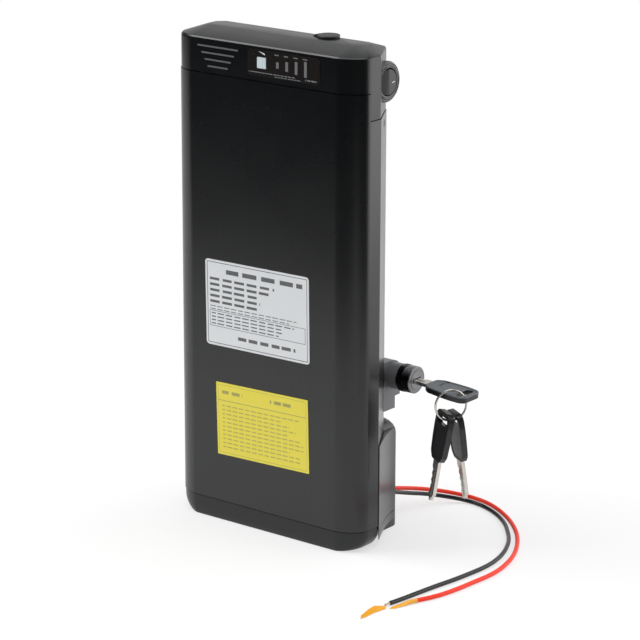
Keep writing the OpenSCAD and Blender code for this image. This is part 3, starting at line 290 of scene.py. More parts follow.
def labelAxes(p, sheet):
    # u runs across the label and v up it, in millimetres from its centre
    x, y, z = inMillimetres(p)
    x, z = x - sheet["place"][0], z - sheet["place"][1]
    c, s = math.cos(math.radians(sheet["turn"])), math.sin(math.radians(sheet["turn"]))
    return x * c + z * s, z * c - x * s


def inside(value, centre, half):
    return abs(value - centre) < half


def ruled(u, v, middle, halfWidth, halfHeight, line):
    # a printed frame, as thick as line, whose outer edge has the given halves
    hollow = 1 - inside(u, 0, halfWidth - line) * inside(v, middle, halfHeight - line)
    return hollow * inside(u, 0, halfWidth) * inside(v, middle, halfHeight)


bars = {"gapShare": 0.16, "gapSpread": 0.12, "raggedShare": 0.3}  # shares of a word and of a row


def greeked(p, u, v, block):
    # rows of plain bars with gaps stand for print
    left, right, top, rows, pitch, thick, word = block
    row = ((top - v) / pitch).whole()
    across = ((top - v) / pitch).fraction()
    seed = p.node("ShaderNodeTexWhiteNoise", {"noise_dimensions": "2D"},
                  {"Vector": p.node("ShaderNodeCombineXYZ", None, {"X": (u / word).whole(), "Y": row})})
    length = p.node("ShaderNodeTexWhiteNoise", {"noise_dimensions": "1D"}, {"W": row + left})
    gap = (u / word).fraction() < seed * bars["gapSpread"] + bars["gapShare"]
    bar = inside(across, 0.5, thick / pitch / 2) * (1 - gap)
    end = right - length * (right - left) * bars["raggedShare"]
    return bar * (u > left) * (u < end) * (row > -0.5) * (row < rows - 0.5)


def printed(p, u, v, blocks):
    marks = greeked(p, u, v, blocks[0])
    for block in blocks[1:]:
        marks = marks.either(greeked(p, u, v, block))
    return marks


filmSkin = {"fibre": 0.4, "fibreShare": 0.3, "wave": 9, "waveTone": 0.5, "waveRough": 0.1, "rough": 0.38,
            "depth": 0.02, "strength": 0.3, "worn": 0.93, "ink": 0.88, "coat": 0.2, "coatRough": 0.25}


def labelFilm(name, colour, ink, sheet, draw):
    # printed film: a slight wave, a fine tooth, and ink that lets a little of the film through
    f = filmSkin
    p = Paint(name)
    u, v = labelAxes(p, sheet)
    fibre = p.noise(f["fibre"], 3)
    wave = p.noise(f["wave"], 2)
    worn = p.mix(wave * f["waveTone"], colour, paler(colour, f["worn"]))
    tooth = fibre * f["fibreShare"] + wave * (1 - f["fibreShare"])
    p.give(Base_Color=p.mix(draw(p, u, v) * f["ink"], worn, ink),
           Roughness=wave * f["waveRough"] + (f["rough"] - f["waveRough"] / 2),
           Normal=p.bump(tooth, f["depth"], f["strength"]), Coat_Weight=f["coat"],
           Coat_Roughness=f["coatRough"])
    return p.material


# a block of print: left and right end, top, rows, pitch, thickness and length of a word
label = {
    "place": (-3.8, 130.7), "turn": 0.8, "size": (74.2, 50), "margin": 1.2, "line": 0.4,
    "blocks": [(-22, 33, 21.5, 1, 5, 2.6, 13), (-34, 14, 15.6, 5, 3.3, 1.5, 9),
               (-34, 30, -1.2, 2, 1.7, 0.5, 5), (-33, 34, -5.2, 4, 2, 0.7, 6),
               (-14, 33, -16.4, 1, 4.4, 2, 8)],
    "box": (-9.2, 34.4, 4.6, 0.3),  # middle, both halves and thickness
}


def whitePrint(p, u, v):
    halfWidth, halfHeight = (size / 2 - label["margin"] for size in label["size"])
    edge = ruled(u, v, 0, halfWidth, halfHeight, label["line"])
    return edge.either(printed(p, u, v, label["blocks"])).either(ruled(u, v, *label["box"]))


notice = {
    "place": (-0.2, 63), "turn": 1.5, "size": (66.3, 43), "margin": 1.25, "line": 0.25, "lineTone": 0.6,
    "titles": [(-29, -13, 18.5, 1, 5, 2, 8), (6, 29, 18.5, 1, 5, 2, 7)], "titleTone": 0.7,
    "rows": [(-29, 30, 9.2, 11, 2.45, 0.7, 4.5)], "rowTone": 0.6,
    "rule": (11, 0.15),  # middle and half thickness
}


def yellowPrint(p, u, v):
    n = notice
    halfWidth, halfHeight = (size / 2 - n["margin"] for size in n["size"])
    edge = ruled(u, v, 0, halfWidth, halfHeight, n["line"]) * n["lineTone"]
    rule = inside(v, *n["rule"]) * inside(u, 0, halfWidth - n["line"])
    titles = printed(p, u, v, n["titles"]) * n["titleTone"]
    return edge.either(rule).either(titles).either(printed(p, u, v, n["rows"]) * n["rowTone"])


key = {
    "lock": (69.2, 30, 91.6), "droop": 4.5, "slotX": 33,
    "headLength": 28.5, "headWidth": 19, "headThick": 3.4, "slotFromEnd": 5.2,
    "slotHalfLength": 6.5, "slotHalfWidth": 2.3,
    "bladeLength": 23.5, "bladeWidth": 7, "bladeThick": 2,
    "outline": [(0, 0.55), (0.13, 0.86), (0.45, 0.97), (0.72, 1), (0.9, 0.94), (0.97, 0.8), (1, 0.6)],
    "cuts": [0, 0.24, 0.1, 0.3, 0.14, 0.34, 0.2, 0.28, 0.1], "tipShare": 0.18, "pointShare": 0.1,
    "rounding": 2.2, "softEdge": 0.8, "rim": 1, "sunk": 0.25, "bladeRounding": 0.35,
    "grooves": [(1, -0.9, 0.5), (-1, -1.7, 0.5)],  # side, place across and depth
    "grooveWidth": 1.1, "grooveShare": 0.9, "grooveLead": 2,
    "flankTop": 1.1, "markFloor": 1,
    "dash": (-16.7, 0.85, 2, 3.1), "dashLean": 0.1,  # place along, half width, middle and half length
    "dot": (-16.4, 6.7, 1.14),  # place along, place across and radius
}

# the pale tips are a painted highlight on the grip lines of the left half, and the near-black crease is a
# painted shade line
crown = {
    "tips": (21.72, 21.95), "tipHighlightTone": (0.13, 0.132, 0.14),  # how far out in front the tips start
    "crease": (-5.6, 0.22),  # middle and half thickness
    "creaseReach": 53, "creaseAbove": 284, "creaseShare": 0.8, "creaseShadeTone": (0.001, 0.001, 0.001),
}


def capHighlightAndShade(p):
    # a painted highlight on the tips of the grip lines on the left half, and a painted shade line along the
    # crease where the crown turns flat
    x, y, z = inMillimetres(p)
    tips = p.step(y * -1, *crown["tips"]) * (x < 0)
    # the crease line is painted shade standing in for the break in shading where the crown turns flat
    crease = inside(y, *crown["crease"]) * inside(x, 0, crown["creaseReach"]) * (z > crown["creaseAbove"])
    return [(tips, crown["tipHighlightTone"]), (crease * crown["creaseShare"], crown["creaseShadeTone"])]


# the grey on the top of the barrel is a painted highlight; the grey of its face is bare metal
lock = {
    "castingAbove": 66, "castingFrom": 35, "castingTone": (0.15, 0.153, 0.16),
    "faceFrom": 68.6, "litTopFrom": (86.2, 88.4), "litTopLean": 0.35, "bareAndHighlightTone": (0.2, 0.202, 0.21),
}


def lockCasting(p):
    # the lock block above the box is bare grey casting
    x, y, z = inMillimetres(p)
    return [((z > lock["castingAbove"]) * (x > lock["castingFrom"]), lock["castingTone"])]


def barrelFaceAndHighlight(p):
    # the threads are black; the face is bare grey metal, and the top of the barrel is painted the same grey
    # as a painted highlight
    x, y, z = inMillimetres(p)
    top = p.step(z - y * lock["litTopLean"], *lock["litTopFrom"])
    return [((x > lock["faceFrom"]).either(top), lock["bareAndHighlightTone"])]


def keyAxes(p):
    # u runs along the key from its ring slot, v across it and h up out of it
    x, y, z = inMillimetres(p)
    c, s = (f(math.radians(key["droop"])) for f in (math.cos, math.sin))
    x, z = x - key["lock"][0], z - key["lock"][2]
    return x * c - z * s - key["slotX"], y - key["lock"][1], x * s + z * c


def gripMarks(p):
    # black flanks, and a plain dash and dot sunk in the top
    u, v, h = keyAxes(p)
    place, halfWidth, middle, halfLength = key["dash"]
    dash = inside(u + v * key["dashLean"], place, halfWidth) * inside(v, middle, halfLength)
    along, across, radius = key["dot"]
    dot = (u - along) * (u - along) + (v - across) * (v - across) < radius ** 2
    return [((h < key["flankTop"]), (0.006, 0.006, 0.007)),
            (dash.either(dot) * (h > key["markFloor"]), (0.002, 0.002, 0.0025))]


rocker = {"mark": (16.4, 263.1), "lean": 0.17, "halves": (1.3, 0.35), "outside": 58, "tone": (0.5, 0.5, 0.5)}


def rockerMark(p):
    # a short pale dash on the half that stands out
    x, y, z = inMillimetres(p)
    y, z = y - rocker["mark"][0], z - rocker["mark"][1]
    dash = inside(y + z * rocker["lean"], 0, rocker["halves"][0]) * inside(z - y * rocker["lean"], 0,
                                                                           rocker["halves"][1])
    return [(dash * (x > rocker["outside"]), rocker["tone"])]


window = {
    "place": (15, 271.754), "turn": 0,
    "blocks": [(-24.2, 18, -4.8, 1, 1.1, 0.5, 2.6), (-6.6, 16, -6, 1, 1.1, 0.45, 2.3),
               (15, 26, -4.9, 1, 1.6, 0.8, 3.1)],
    "rowTone": 0.7, "ticks": (-4.8, 1.7, 8.3, 14.8), "tickHeight": 5.55, "tickHalves": (1.5, 0.3),
    "tickTone": 0.6, "ink": (0.30, 0.32, 0.33),
    "pointer": (-15, 2), "pointerTop": (-0.2, 6.3), "pointerFoot": (-0.42, 6.2),  # slopes from its left end
    "pointerTone": (0.75, 0.8, 0.84),
}


def windowPrint(p):
    # plain ticks and rows stand for the print, with a small pale pointer above the button
    w = window
    u, v = labelAxes(p, w)
    ticks = sum(inside(u, place, w["tickHalves"][0]) for place in w["ticks"])
    ticks = ticks * inside(v, w["tickHeight"], w["tickHalves"][1])
    middle, half = w["pointer"]
    along = u - (middle - half)
    (topSlope, top), (footSlope, foot) = w["pointerTop"], w["pointerFoot"]
    pointer = inside(u, middle, half) * (along * topSlope + top > v) * (along * footSlope + foot < v)
    return [(printed(p, u, v, w["blocks"]) * w["rowTone"], w["ink"]), (ticks * w["tickTone"], w["ink"]),
            (pointer, w["pointerTone"])]


paint = {
    "case": coated("caseCoat", (0.0034, 0.0040, 0.0050)),
    "case_plastic": moulded("capPlastic", (0.0034, 0.0040, 0.0050), 0.3, accent=capHighlightAndShade),
    "receiver_plastic": moulded("receiverPlastic", (0.034, 0.036, 0.039), 0.32, accent=lockCasting),
    "rail_plastic": moulded("railPlastic", (0.016, 0.016, 0.018), 0.5),
    "screw_black": metal("blackOxide", (0.02, 0.02, 0.022), 0.55, shine=0.4),
    "steel": metal("zincPlate", (0.62, 0.62, 0.64), 0.3),
    "label_white": labelFilm("whiteFilm", (0.76, 0.78, 0.80), (0.03, 0.03, 0.035), label, whitePrint),
    "label_yellow": labelFilm("yellowFilm", (0.83, 0.72, 0.06), (0.12, 0.12, 0.10), notice, yellowPrint),
    "window": gloss("smokedFilm", (0.0145, 0.0118, 0.0118), 0.14, accent=windowPrint),
    "light_bar": gloss("lightGuide", (0.16, 0.165, 0.17), 0.25),
    "board": gloss("solderMask", (0.02, 0.12, 0.05), 0.3),
    "button_white": gloss("whiteKey", (0.58, 0.66, 0.70), 0.3),
    "rubber_black": rubberLike("coverRubber", (0.02, 0.02, 0.021)),
    "socket_plastic": moulded("socketPlastic", (0.03, 0.03, 0.034), 0.5),
    "switch_gloss": gloss("bezelGloss", (0.006, 0.006, 0.007), 0.12, 0.5, 0.3),
    "rocker_gloss": gloss("rockerGloss", (0.004, 0.004, 0.005), 0.07, 0.26, 0.1, rockerMark),
    "contact_brass": metal("contactPlate", (0.80, 0.60, 0.26), 0.25),
    "holder": moulded("holderPlastic", (0.62, 0.61, 0.56), 0.5),
    "cell_wrap": gloss("cellSleeve", (0.05, 0.19, 0.42), 0.3),
    "nickel": metal("nickelPlate", (0.76, 0.73, 0.68), 0.24),
    "chip": moulded("chipEpoxy", (0.02, 0.02, 0.02), 0.55),
    "lead_red": sleeve("redSleeve", (0.90, 0.032, 0.010), (0.93, 0.052, 0.018)),
    "lead_black": sleeve("blackSleeve", (0.003, 0.004, 0.006), (0.006, 0.008, 0.011), 0.26, 0.12, 0.4),
    "foam": rubberLike("foamPad", (0.05, 0.05, 0.055), 0.9),
    "barrel": metal("barrelCasting", (0.022, 0.022, 0.024), 0.34, accent=barrelFaceAndHighlight),
    "nut": metal("nutBlack", (0.03, 0.03, 0.033), 0.34),
    "lock_face": metal("lockFace", (0.25, 0.25, 0.255), 0.36),
    "key_grip": moulded("gripSlate", (0.085, 0.097, 0.112), 0.32, accent=gripMarks),
    "key_black": moulded("gripBlack", (0.012, 0.012, 0.014), 0.3),
    "tape": gloss("amberTape", (0.80, 0.36, 0.02), 0.22),
    "strands": metal("tinnedCopper", (0.78, 0.66, 0.52), 0.3),
}
slotOf = {s["node"]: s["material_slot"] for s in frame["record"]["subparts"]}
bodyOf = {n: body for body, members in frame["record"]["behaviour"]["bodies"].items() for n in members}
for name, obj in nodes.items():
    obj.data.materials.clear()
    obj.data.materials.append(paint[slotOf[name]])
    for face in obj.data.polygons:
        face.material_index = 0
print("stage: finishes mixed")


def dress(obj, node):
    # a made piece rides and is painted as the node that it stands for
    bpy.context.scene.collection.objects.link(obj)
    obj.data.materials.append(paint[slotOf[node]])
    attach(obj, bodyOf[node])
    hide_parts(node)


def keep(bm, name, node, creases):
    # turns a bmesh into the finished piece that stands for a node, sharp above an angle
    for face in bm.faces:
        face.smooth = True
    for edge in bm.edges:
        edge.smooth = edge.calc_face_angle(0) < math.radians(creases)
    mesh = bpy.data.meshes.new(name)
    bm.to_mesh(mesh)
    bm.free()
    obj = bpy.data.objects.new(name, mesh)
    weigh = obj.modifiers.new("weigh", "WEIGHTED_NORMAL")
    weigh.keep_sharp = True
    dress(obj, node)
    return obj


merge = 0.002  # millimetres between points that are one
flatWithin = 0.5  # degrees


def bevelled(bm, geom, width, segments, affect="EDGES"):
    bmesh.ops.bevel(bm, geom=geom, offset=width * mm, offset_type="OFFSET", affect=affect, segments=segments,
                    profile=0.5, material=-1, clamp_overlap=True)


def softened(node, name, width, creases=28):
    # a merged copy of a node with its edges broken, as a moulding or casting has them
    bm = bmesh.new()
    bm.from_mesh(nodes[node].data)
    bmesh.ops.remove_doubles(bm, verts=bm.verts, dist=merge * mm)
    bmesh.ops.dissolve_limit(bm, angle_limit=math.radians(flatWithin), verts=bm.verts, edges=bm.edges)
    sharp = [e for e in bm.edges if e.is_manifold and e.calc_face_angle(0) > math.radians(creases)]
    if width:
        bevelled(bm, sharp, width, 2)
    keep(bm, name, node, 35)


# the name of each softened piece and the width of its broken edges
softenedNodes = {
    "body_shell": ("caseTube", 0.12), "top_cap": ("topCap", 0.15), "foot_cap": ("footCap", 0.15),
    "slide_rib": ("slideRib", 0.5), "discharge_plug": ("dischargePlug", 0.3),
    "receiver_rail": ("receiverRail", 0.5), "receiver_box": ("receiverBox", 0.5),
    "receiver_base": ("receiverBase", 0.5), "receiver_socket": ("receiverSocket", 0.2),
    "lock_block": ("lockBlock", 0.6), "lock_nut": ("lockNut", 0.4), "lock_barrel": ("lockBarrel", 0.1),
    "lock_plug": ("lockPlug", 0.15), "port_cover": ("portCover", 0.25),
    "switch_rocker": ("switchRocker", 0.45), "wire_gland": ("wireGland", 0.3),
    "test_button": ("testButton", 0.25), "upper_label": ("upperLabel", 0), "lower_label": ("lowerLabel", 0),
    "indicator_window": ("indicatorWindow", 0.1), "light_bars": ("lightBars", 0.1),
}
for node, (name, width) in softenedNodes.items():
    softened(node, name, width)
print("stage: mouldings softened")


bezel = {
    "seat": (57.9, 12.2, 263.6),
    "outer": 11.5, "height": 3, "mouth": 7.7, "body": 8.6, "tail": 12, "floor": 6.8,
    "lip": 0.5, "lipTop": (0.12, 0.1), "lipFoot": 0.35,  # the rounding of the mouth
    "wall": 0.9, "domeShape": 0.8, "rings": 4, "ringSteps": 4, "ringDepth": 0.3, "round": 96,
}


def switchBezel(b):
    bm = bmesh.new()
    mouth, lip, rise = b["mouth"], b["mouth"] + b["lip"], b["height"]
    points = [(0, -b["floor"]), (mouth, -b["floor"]), (mouth, rise - b["lipFoot"]),
              (mouth + b["lipTop"][0], rise - b["lipTop"][1]), (lip, rise)]
    steps = b["rings"] * b["ringSteps"]
    for k in range(1, steps + 1):  # a dome with fine rings cut in it
        t = k / steps
        cut = b["ringDepth"] if k % b["ringSteps"] == b["ringSteps"] // 2 else 0
        points.append((lip + (b["outer"] - lip) * math.sin(t * math.pi / 2) - cut * t,
                       b["wall"] + (rise - b["wall"]) * math.cos(t * math.pi / 2) ** b["domeShape"]
                       - cut * (1 - t)))
    points += [(b["outer"], 0), (b["body"], 0), (b["body"], -b["tail"]), (0, -b["tail"])]
    made = [bm.verts.new((z * mm, 0, r * mm)) for r, z in points]
    edges = [bm.edges.new(pair) for pair in zip(made, made[1:])]
    bmesh.ops.spin(bm, geom=made + edges, cent=(0, 0, 0), axis=(1, 0, 0), angle=math.tau, steps=b["round"],
                   use_merge=True)
    bmesh.ops.remove_doubles(bm, verts=bm.verts, dist=merge * mm)
    bmesh.ops.recalc_face_normals(bm, faces=bm.faces)
    bmesh.ops.transform(bm, matrix=shift(*b["seat"]), verts=bm.verts)
    keep(bm, "switchBezel", "switch_bezel", 25)


switchBezel(bezel)
print("stage: switch made")


ring = {
    "radius": 8.8, "wire": 0.65, "yaw": 50, "hang": 6.9, "shift": (-4.5, -6.8),
    "spares": [(-22, 9), (18, -8)],  # place round the ring and tilt, in degrees
    "spareTurn": 8, "spareRest": 0.5, "round": 96, "wireRound": 20,
}


def keyPlace(p):
    return shift(*key["lock"]) @ turn(key["droop"], "Y") @ shift(*p)


ringCentre = keyPlace((key["slotX"] + ring["shift"][0], ring["shift"][1], key["headThick"] / 2)).translation
ringCentre = ringCentre - Vector((0, 0, ring["hang"] * mm))
keySpot = keyPlace((key["slotX"], 0, 0))


def spareSpot(angle, tilt):
    # a spare hangs from its slot, a given angle round the ring from its lowest point
    a, yaw = math.radians(angle), math.radians(ring["yaw"])
    out = Vector((math.sin(a) * math.cos(yaw), math.sin(a) * math.sin(yaw), -math.cos(a)))
    hung = Matrix.Translation(ringCentre + ring["radius"] * mm * out) @ turn(ring["yaw"], "Z")
    return (hung @ turn(tilt, "Y") @ turn(ring["spareTurn"], "Z") @ turn(-90, "Y")
            @ shift(-ring["spareRest"], 0, 0))


def cutAway(obj, cutters):
    # takes the cutters out of a piece and applies the result
    for cutter in cutters:
        cut = obj.modifiers.new("cut", "BOOLEAN")
        cut.operation, cut.solver, cut.object = "DIFFERENCE", "EXACT", cutter
    bpy.context.view_layer.update()
    solid = obj.evaluated_get(bpy.context.evaluated_depsgraph_get())
    mesh = bpy.data.meshes.new_from_object(solid)
    obj.modifiers.clear()
    obj.data = mesh
    for cutter in cutters:
        bpy.data.objects.remove(cutter)


def loose(bm, name):
    mesh = bpy.data.meshes.new(name)
    bm.to_mesh(mesh)
    bm.free()
    obj = bpy.data.objects.new(name, mesh)
    bpy.context.scene.collection.objects.link(obj)
    return obj


def plate(points, thick, rounding, segments=4):
    # a flat outline with rounded corners, given a thickness about its middle
    bm = bmesh.new()
    bm.faces.new([bm.verts.new((x * mm, y * mm, -thick / 2 * mm)) for x, y in points])
    bevelled(bm, bm.verts[:], rounding, segments, "VERTICES")
    made = bmesh.ops.extrude_face_region(bm, geom=bm.faces[:])
    moved = [v for v in made["geom"] if isinstance(v, bmesh.types.BMVert)]
    bmesh.ops.translate(bm, vec=(0, 0, thick * mm), verts=moved)
    bmesh.ops.recalc_face_normals(bm, faces=bm.faces)
    return bm


nearlyRound = 0.98  # a corner's share of the half width, just short of a full round end


def flatFaces(bm):
    # the large face on either side of a plate
    return sorted(bm.faces, key=lambda f: -f.calc_area() * (abs(f.normal.z) > 0.99))[:2]


def keyHead(name, node, spot):
    length, width, thick = key["headLength"], key["headWidth"] / 2, key["headThick"]
    back = key["slotFromEnd"] - length
    upper = [(back + x * length, y * width) for x, y in key["outline"]]
    bm = plate(upper + [(x, -y) for x, y in reversed(upper)], thick, key["rounding"])
    rims = {e for f in flatFaces(bm) for e in f.edges}
    bevelled(bm, list(rims), key["softEdge"], 3)
    bmesh.ops.inset_individual(bm, faces=flatFaces(bm), thickness=key["rim"] * mm, depth=0)
    bmesh.ops.inset_individual(bm, faces=flatFaces(bm), thickness=key["sunk"] * mm, depth=-key["sunk"] * mm)
    head = loose(bm, name + "Raw")
    w, l = key["slotHalfWidth"], key["slotHalfLength"]
    slot = [(-w, -l), (w, -l), (w, l), (-w, l)]
    cutter = loose(plate(slot, 4 * thick, w * nearlyRound, 8), "slotCut")
    cutAway(head, [cutter])
    done = bmesh.new()
    done.from_mesh(head.data)
    bpy.data.objects.remove(head)
    bmesh.ops.transform(done, matrix=spot, verts=done.verts)
    keep(done, name, node, 30)


def keyBlade(name, node, spot):
    width, thick = key["bladeWidth"], key["bladeThick"]
    root = key["slotFromEnd"] - key["headLength"]
    tip = root - key["bladeLength"]
    n, cutLength = len(key["cuts"]) - 1, key["bladeLength"] * (1 - 2 * key["tipShare"])
    cuts = [(root - key["tipShare"] * key["bladeLength"] - cutLength * k / n, width * (0.5 - c))
            for k, c in enumerate(key["cuts"])]
    points = [(root, -width / 2), (root, width / 2)] + cuts + [
        (tip, key["pointShare"] * width), (tip, -key["pointShare"] * width),
        (tip + key["tipShare"] * key["bladeLength"], -width / 2)]
    blade = loose(plate(points, thick, key["bladeRounding"], 2), name + "Raw")
    grooves = []
    for side, y, deep in key["grooves"]:
        bm = bmesh.new()
        bmesh.ops.create_cube(bm, size=1)
        size = Vector((key["bladeLength"] * key["grooveShare"], key["grooveWidth"], deep * 2))
        middle = Vector(((root + tip) / 2 - key["grooveLead"], y, side * thick / 2))
        bmesh.ops.scale(bm, vec=size * mm, verts=bm.verts)
        bmesh.ops.translate(bm, vec=middle * mm, verts=bm.verts)
        grooves.append(loose(bm, "groove"))
    cutAway(blade, grooves)
    done = bmesh.new()
    done.from_mesh(blade.data)
    bpy.data.objects.remove(blade)
    bmesh.ops.transform(done, matrix=spot, verts=done.verts)
    keep(done, name, node, 30)


keyHead("keyHead", "key_head", keySpot)
keyBlade("keyBlade", "key_blade", keySpot)
for letter, (angle, tilt) in zip("AB", ring["spares"]):
    spot = spareSpot(angle, tilt)
    keyHead("spareHead" + letter, "spare_head_" + letter.lower(), spot)
    keyBlade("spareBlade" + letter, "spare_blade_" + letter.lower(), spot)


def keyRing(r):
    bm = bmesh.new()
    bmesh.ops.create_circle(bm, segments=r["wireRound"], radius=r["wire"] * mm)
    bmesh.ops.translate(bm, vec=(r["radius"] * mm, 0, 0), verts=bm.verts)
    bmesh.ops.rotate(bm, cent=(0, 0, 0), matrix=turn(90, "X").to_3x3(), verts=bm.verts)
    bmesh.ops.spin(bm, geom=bm.verts[:] + bm.edges[:], cent=(0, 0, 0), axis=(0, 0, 1), angle=math.tau,
                   steps=r["round"], use_merge=True)
    bmesh.ops.recalc_face_normals(bm, faces=bm.faces)
    spot = Matrix.Translation(ringCentre) @ turn(r["yaw"], "Z") @ turn(90, "X")
    bmesh.ops.transform(bm, matrix=spot, verts=bm.verts)
    keep(bm, "keyRing", "key_ring", 40)


keyRing(ring)
print("stage: keys made")


lead = {
    "diameter": 2.5, "strand": 4, "strandRadius": 0.2, "strandsRound": 6, "strandPitch": 0.5, "fullness": 6,
}
redRoute = [
    (35.5, 41, 15), (35.5, 45, 14.9), (35.7, 50, 14.1), (36.3, 56, 12.8), (37.5, 63, 11.1), (39.6, 70.5, 9.3),
    (42.8, 78, 7.4), (47, 85.2, 5.4), (52.5, 91.5, 3.4), (59.3, 95.7, 1.9), (66.8, 96.4, 1.3),
    (75, 94.4, 1.3), (84, 90.4, 1.3), (92.5, 85.2, 1.3), (100.8, 79, 1.3), (108.5, 72, 1.3),
    (115.6, 64.5, 1.3), (121.9, 56.4, 1.3), (127.5, 47.8, 1.3), (132.3, 38.9, 1.3), (136.1, 30.2, 1.3),
    (138.9, 21.3, 1.3), (141, 12, 1.3), (141.9, 2.8, 1.3), (141.7, -5.5, 1.3), (141, -13.7, 1.3),
    (139.6, -29.2, 1.3), (136.8, -43.4, 1.3), (132.4, -54.9, 1.3)]
blackRoute = [
    (40.5, 41, 15), (40.5, 45, 14.5), (40.7, 50, 13), (41.5, 56, 11.2), (43.2, 62.5, 9.4), (45.8, 69.5, 7.7),
    (49.3, 76.2, 5.9), (53.6, 82.2, 4.1), (58.6, 87, 2.6), (64.5, 89.7, 1.6), (71.8, 89.5, 1.3),
    (79.5, 87.1, 1.3), (87.7, 83.1, 1.3), (95.6, 77.8, 1.3), (103.3, 71.1, 1.3), (110.2, 63.4, 1.3),
    (115.6, 56.7, 1.3), (120.4, 49.6, 1.3), (124.6, 41.7, 1.3), (128.3, 33, 1.3), (131, 23.7, 1.3),
    (132.5, 13.9, 1.3), (132.7, 6, 1.3), (132.2, -1.7, 1.3), (130.6, -17, 1.3), (128.3, -31.6, 1.3),
    (126.4, -46.4, 1.3), (124.9, -58.6, 1.3), (123.6, -66.6, 1.3)]


def leadCurve(name, node, route):
    data = bpy.data.curves.new(name, "CURVE")
    data.dimensions, data.bevel_depth = "3D", lead["diameter"] / 2 * mm
    data.bevel_resolution = lead["fullness"]
    data.use_fill_caps = True
    line = data.splines.new("BEZIER")
    line.resolution_u = lead["fullness"]
    line.bezier_points.add(len(route) - 1)
    for point, spot in zip(line.bezier_points, route):
        point.co = Vector(spot) * mm
        point.handle_left_type = point.handle_right_type = "AUTO"
    obj = bpy.data.objects.new(name, data)
    dress(obj, node)
    return obj


def endSpot(route):
    # X runs on along the lead from its cut end
    ahead = Vector(route[-1]) - Vector(route[-2])
    return shift(*route[-1]) @ turn(math.degrees(math.atan2(ahead.y, ahead.x)), "Z")


# along the tape, then its half width, half height and height as shares of the lead's radius
tapeSections = [
    (0, 1, 1, 0), (1.5, 1.04, 1, 0), (4, 1.1, 0.96, -0.02), (6.5, 1.25, 0.8, -0.2), (9, 1.4, 0.55, -0.5),
    (12, 1.36, 0.36, -0.74), (14.5, 1.2, 0.26, -0.86), (17, 0.45, 0.16, -0.96)]


def redTape():
    # film wound on the end of the lead and pinched flat beyond it
    bm = bmesh.new()
    radius = lead["diameter"] / 2
    bmesh.ops.create_circle(bm, segments=24, radius=radius * mm)
    bmesh.ops.rotate(bm, cent=(0, 0, 0), matrix=turn(90, "Y").to_3x3(), verts=bm.verts)
    ends = bm.edges[:]
    for last, section in zip(tapeSections, tapeSections[1:]):
        made = bmesh.ops.extrude_edge_only(bm, edges=ends)["geom"]
        moved = [v for v in made if isinstance(v, bmesh.types.BMVert)]
        ends = [e for e in made if isinstance(e, bmesh.types.BMEdge)]
        bmesh.ops.scale(bm, vec=(1, section[1] / last[1], section[2] / last[2]), verts=moved,
                        space=shift(-last[0], 0, -last[3] * radius))
        onward = Vector((section[0] - last[0], 0, (section[3] - last[3]) * radius))
        bmesh.ops.translate(bm, vec=onward * mm, verts=moved)
    bmesh.ops.holes_fill(bm, edges=bm.edges[:], sides=0)
    bmesh.ops.recalc_face_normals(bm, faces=bm.faces)
    bmesh.ops.transform(bm, matrix=endSpot(redRoute), verts=bm.verts)
    return keep(bm, "redTape", "red_tape", 50)


def bareStrands():
    # one strand in the middle and the rest round it
    bm = bmesh.new()
    around = [k * math.tau / lead["strandsRound"] for k in range(lead["strandsRound"])]
    pitch = lead["strandPitch"]
    for y, z in [(math.cos(a) * pitch, math.sin(a) * pitch) for a in around] + [(0, 0)]:
        made = bmesh.ops.create_cone(bm, cap_ends=True, segments=8, radius1=lead["strandRadius"] * mm,
                                     radius2=lead["strandRadius"] * mm, depth=lead["strand"] * mm)["verts"]
        bmesh.ops.rotate(bm, cent=(0, 0, 0), matrix=turn(90, "Y").to_3x3(), verts=made)
        bmesh.ops.translate(bm, vec=Vector((lead["strand"] / 2, y, z)) * mm, verts=made)
    bmesh.ops.transform(bm, matrix=endSpot(blackRoute), verts=bm.verts)
    return keep(bm, "bareStrands", "black_strands", 50)


flag = {
    "outline": [(0, -0.9), (3.7, -4.4), (9, -3.1), (18.3, 0.7), (21.3, 3.5), (16, 3.2), (10.3, 2.2),
                (1.8, 2.2), (0, 0.9)],
    "thick": 0.5, "rounding": 0.3, "drop": 0.95,
}


def tapeFlag():
    bm = plate(flag["outline"], flag["thick"], flag["rounding"], 2)
    bmesh.ops.translate(bm, vec=(lead["strand"] * mm, 0, -flag["drop"] * mm), verts=bm.verts)
    bmesh.ops.transform(bm, matrix=endSpot(blackRoute), verts=bm.verts)
    return keep(bm, "tapeFlag", "black_tape", 50)


redLead = leadCurve("redLead", "red_lead", redRoute)
blackLead = leadCurve("blackLead", "black_lead", blackRoute)
redTape()
bareStrands()
tapeFlag()
print("stage: leads laid")


stageSet = {
    "left": -1500, "right": 520, "front": -470, "back": 2600, "colour": (0.86, 0.86, 0.86), "rough": 0.9,
    "shine": 0.1, "white": 0.6,
    "clear": (0.03, 0.2),  # square metres: the floor turns plain white between these squared distances
}


def floorPaint():
    # the floor keeps the soft shadow near the pack and turns plain white away from it
    f = stageSet
    p = Paint("floorPaint", Base_Color=f["colour"], Roughness=f["rough"], Specular_IOR_Level=f["shine"])
    glow = p.node("ShaderNodeEmission", None, {"Color": (1, 1, 1), "Strength": 1})
    x, y, z = inMillimetres(p)
    away = p.step((x * x + y * y) * mm * mm, *f["clear"])
    seen = p.ray("Is Camera Ray").either(p.ray("Is Glossy Ray")) * (away * (1 - f["white"]) + f["white"])
    mixed = p.node("ShaderNodeMixShader", None, {0: seen, 1: Wire(p, p.shader.outputs[0]), 2: glow})
    p.tree.links.new(mixed.socket, p.output.inputs["Surface"])
    return p.material


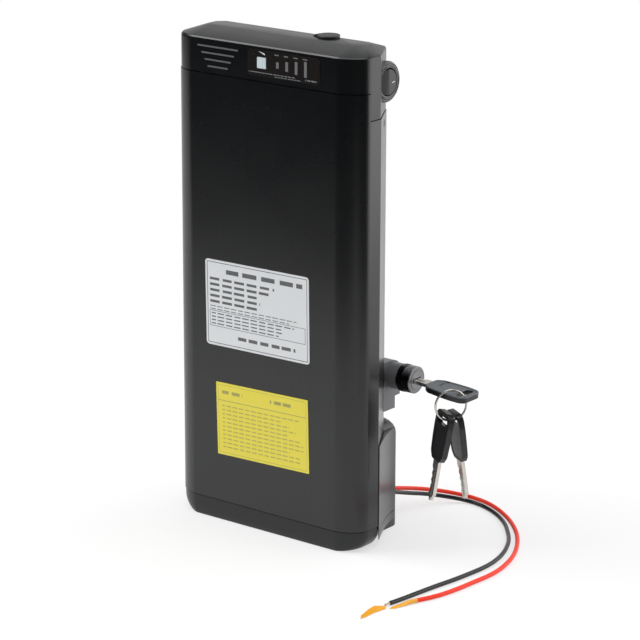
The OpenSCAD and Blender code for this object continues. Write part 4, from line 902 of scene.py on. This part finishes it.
def makeFloor():
    f = stageSet
    bm = bmesh.new()
    bmesh.ops.create_grid(bm, x_segments=1, y_segments=1, size=0.5)
    size = Vector((f["right"] - f["left"], f["back"] - f["front"], 0)) * mm
    middle = Vector((f["right"] + f["left"], f["back"] + f["front"], 0)) / 2 * mm
    bmesh.ops.scale(bm, vec=size, verts=bm.verts)
    bmesh.ops.translate(bm, vec=middle, verts=bm.verts)
    obj = loose(bm, "floor")
    obj.data.materials.append(floorPaint())


lampAim = (0, 0, 120)
lamps = {
    "keySoft": {"spot": (-900, -500, 1200), "size": 900, "power": 14},
    "rearSoft": {"spot": (900, 900, 500), "size": 1600, "power": 12},
    "topSoft": {"spot": (100, 0, 1500), "size": 1200, "power": 10},
}


def makeLamp(name, l):
    data = bpy.data.lights.new(name, "AREA")
    data.shape, data.size, data.energy = "SQUARE", l["size"] * mm, l["power"]
    obj = bpy.data.objects.new(name, data)
    spot = Vector(l["spot"]) * mm
    aim = (Vector(lampAim) * mm - spot).to_track_quat("-Z", "Y")
    obj.matrix_world = Matrix.Translation(spot) @ aim.to_matrix().to_4x4()
    bpy.context.scene.collection.objects.link(obj)


room = {
    "soft": 0.4,  # plain light from all round
    "shine": 0.8, "frontDark": 0.02, "topDark": 0.65,  # what the glossy faces see
    "behind": (0.22, 0.62), "above": (0.25, 0.8),  # directions where the backdrop starts and where it fades
}


class Room(Paint):
    # the white backdrop behind, the unlit room in front, and soft light all round
    def __init__(self, r):
        world = bpy.data.worlds.new("studio")
        bpy.context.scene.world = world
        world.use_nodes = True
        self.tree = world.node_tree
        self.tree.nodes.clear()
        out = self.tree.nodes.new("ShaderNodeOutputWorld")
        ahead = self.node("ShaderNodeTexCoord", output="Generated")
        y = self.node("ShaderNodeSeparateXYZ", None, {0: ahead}, "Y")
        z = self.node("ShaderNodeSeparateXYZ", None, {0: ahead}, "Z")
        fade = 1 - self.step(z, *r["above"]) * r["topDark"]
        backdrop = self.step(y, *r["behind"]) * fade + r["frontDark"]
        glossy, camera = self.ray("Is Glossy Ray"), self.ray("Is Camera Ray")
        level = (r["soft"] * (1 - glossy) + backdrop * glossy * r["shine"]) * (1 - camera) + camera
        back = self.node("ShaderNodeBackground", None, {"Color": (1, 1, 1), "Strength": level})
        self.tree.links.new(back.socket, out.inputs["Surface"])


makeFloor()
for name, l in lamps.items():
    makeLamp(name, l)
Room(room)
bpy.context.scene.view_settings.view_transform = "Standard"
print("stage: floor and light set")
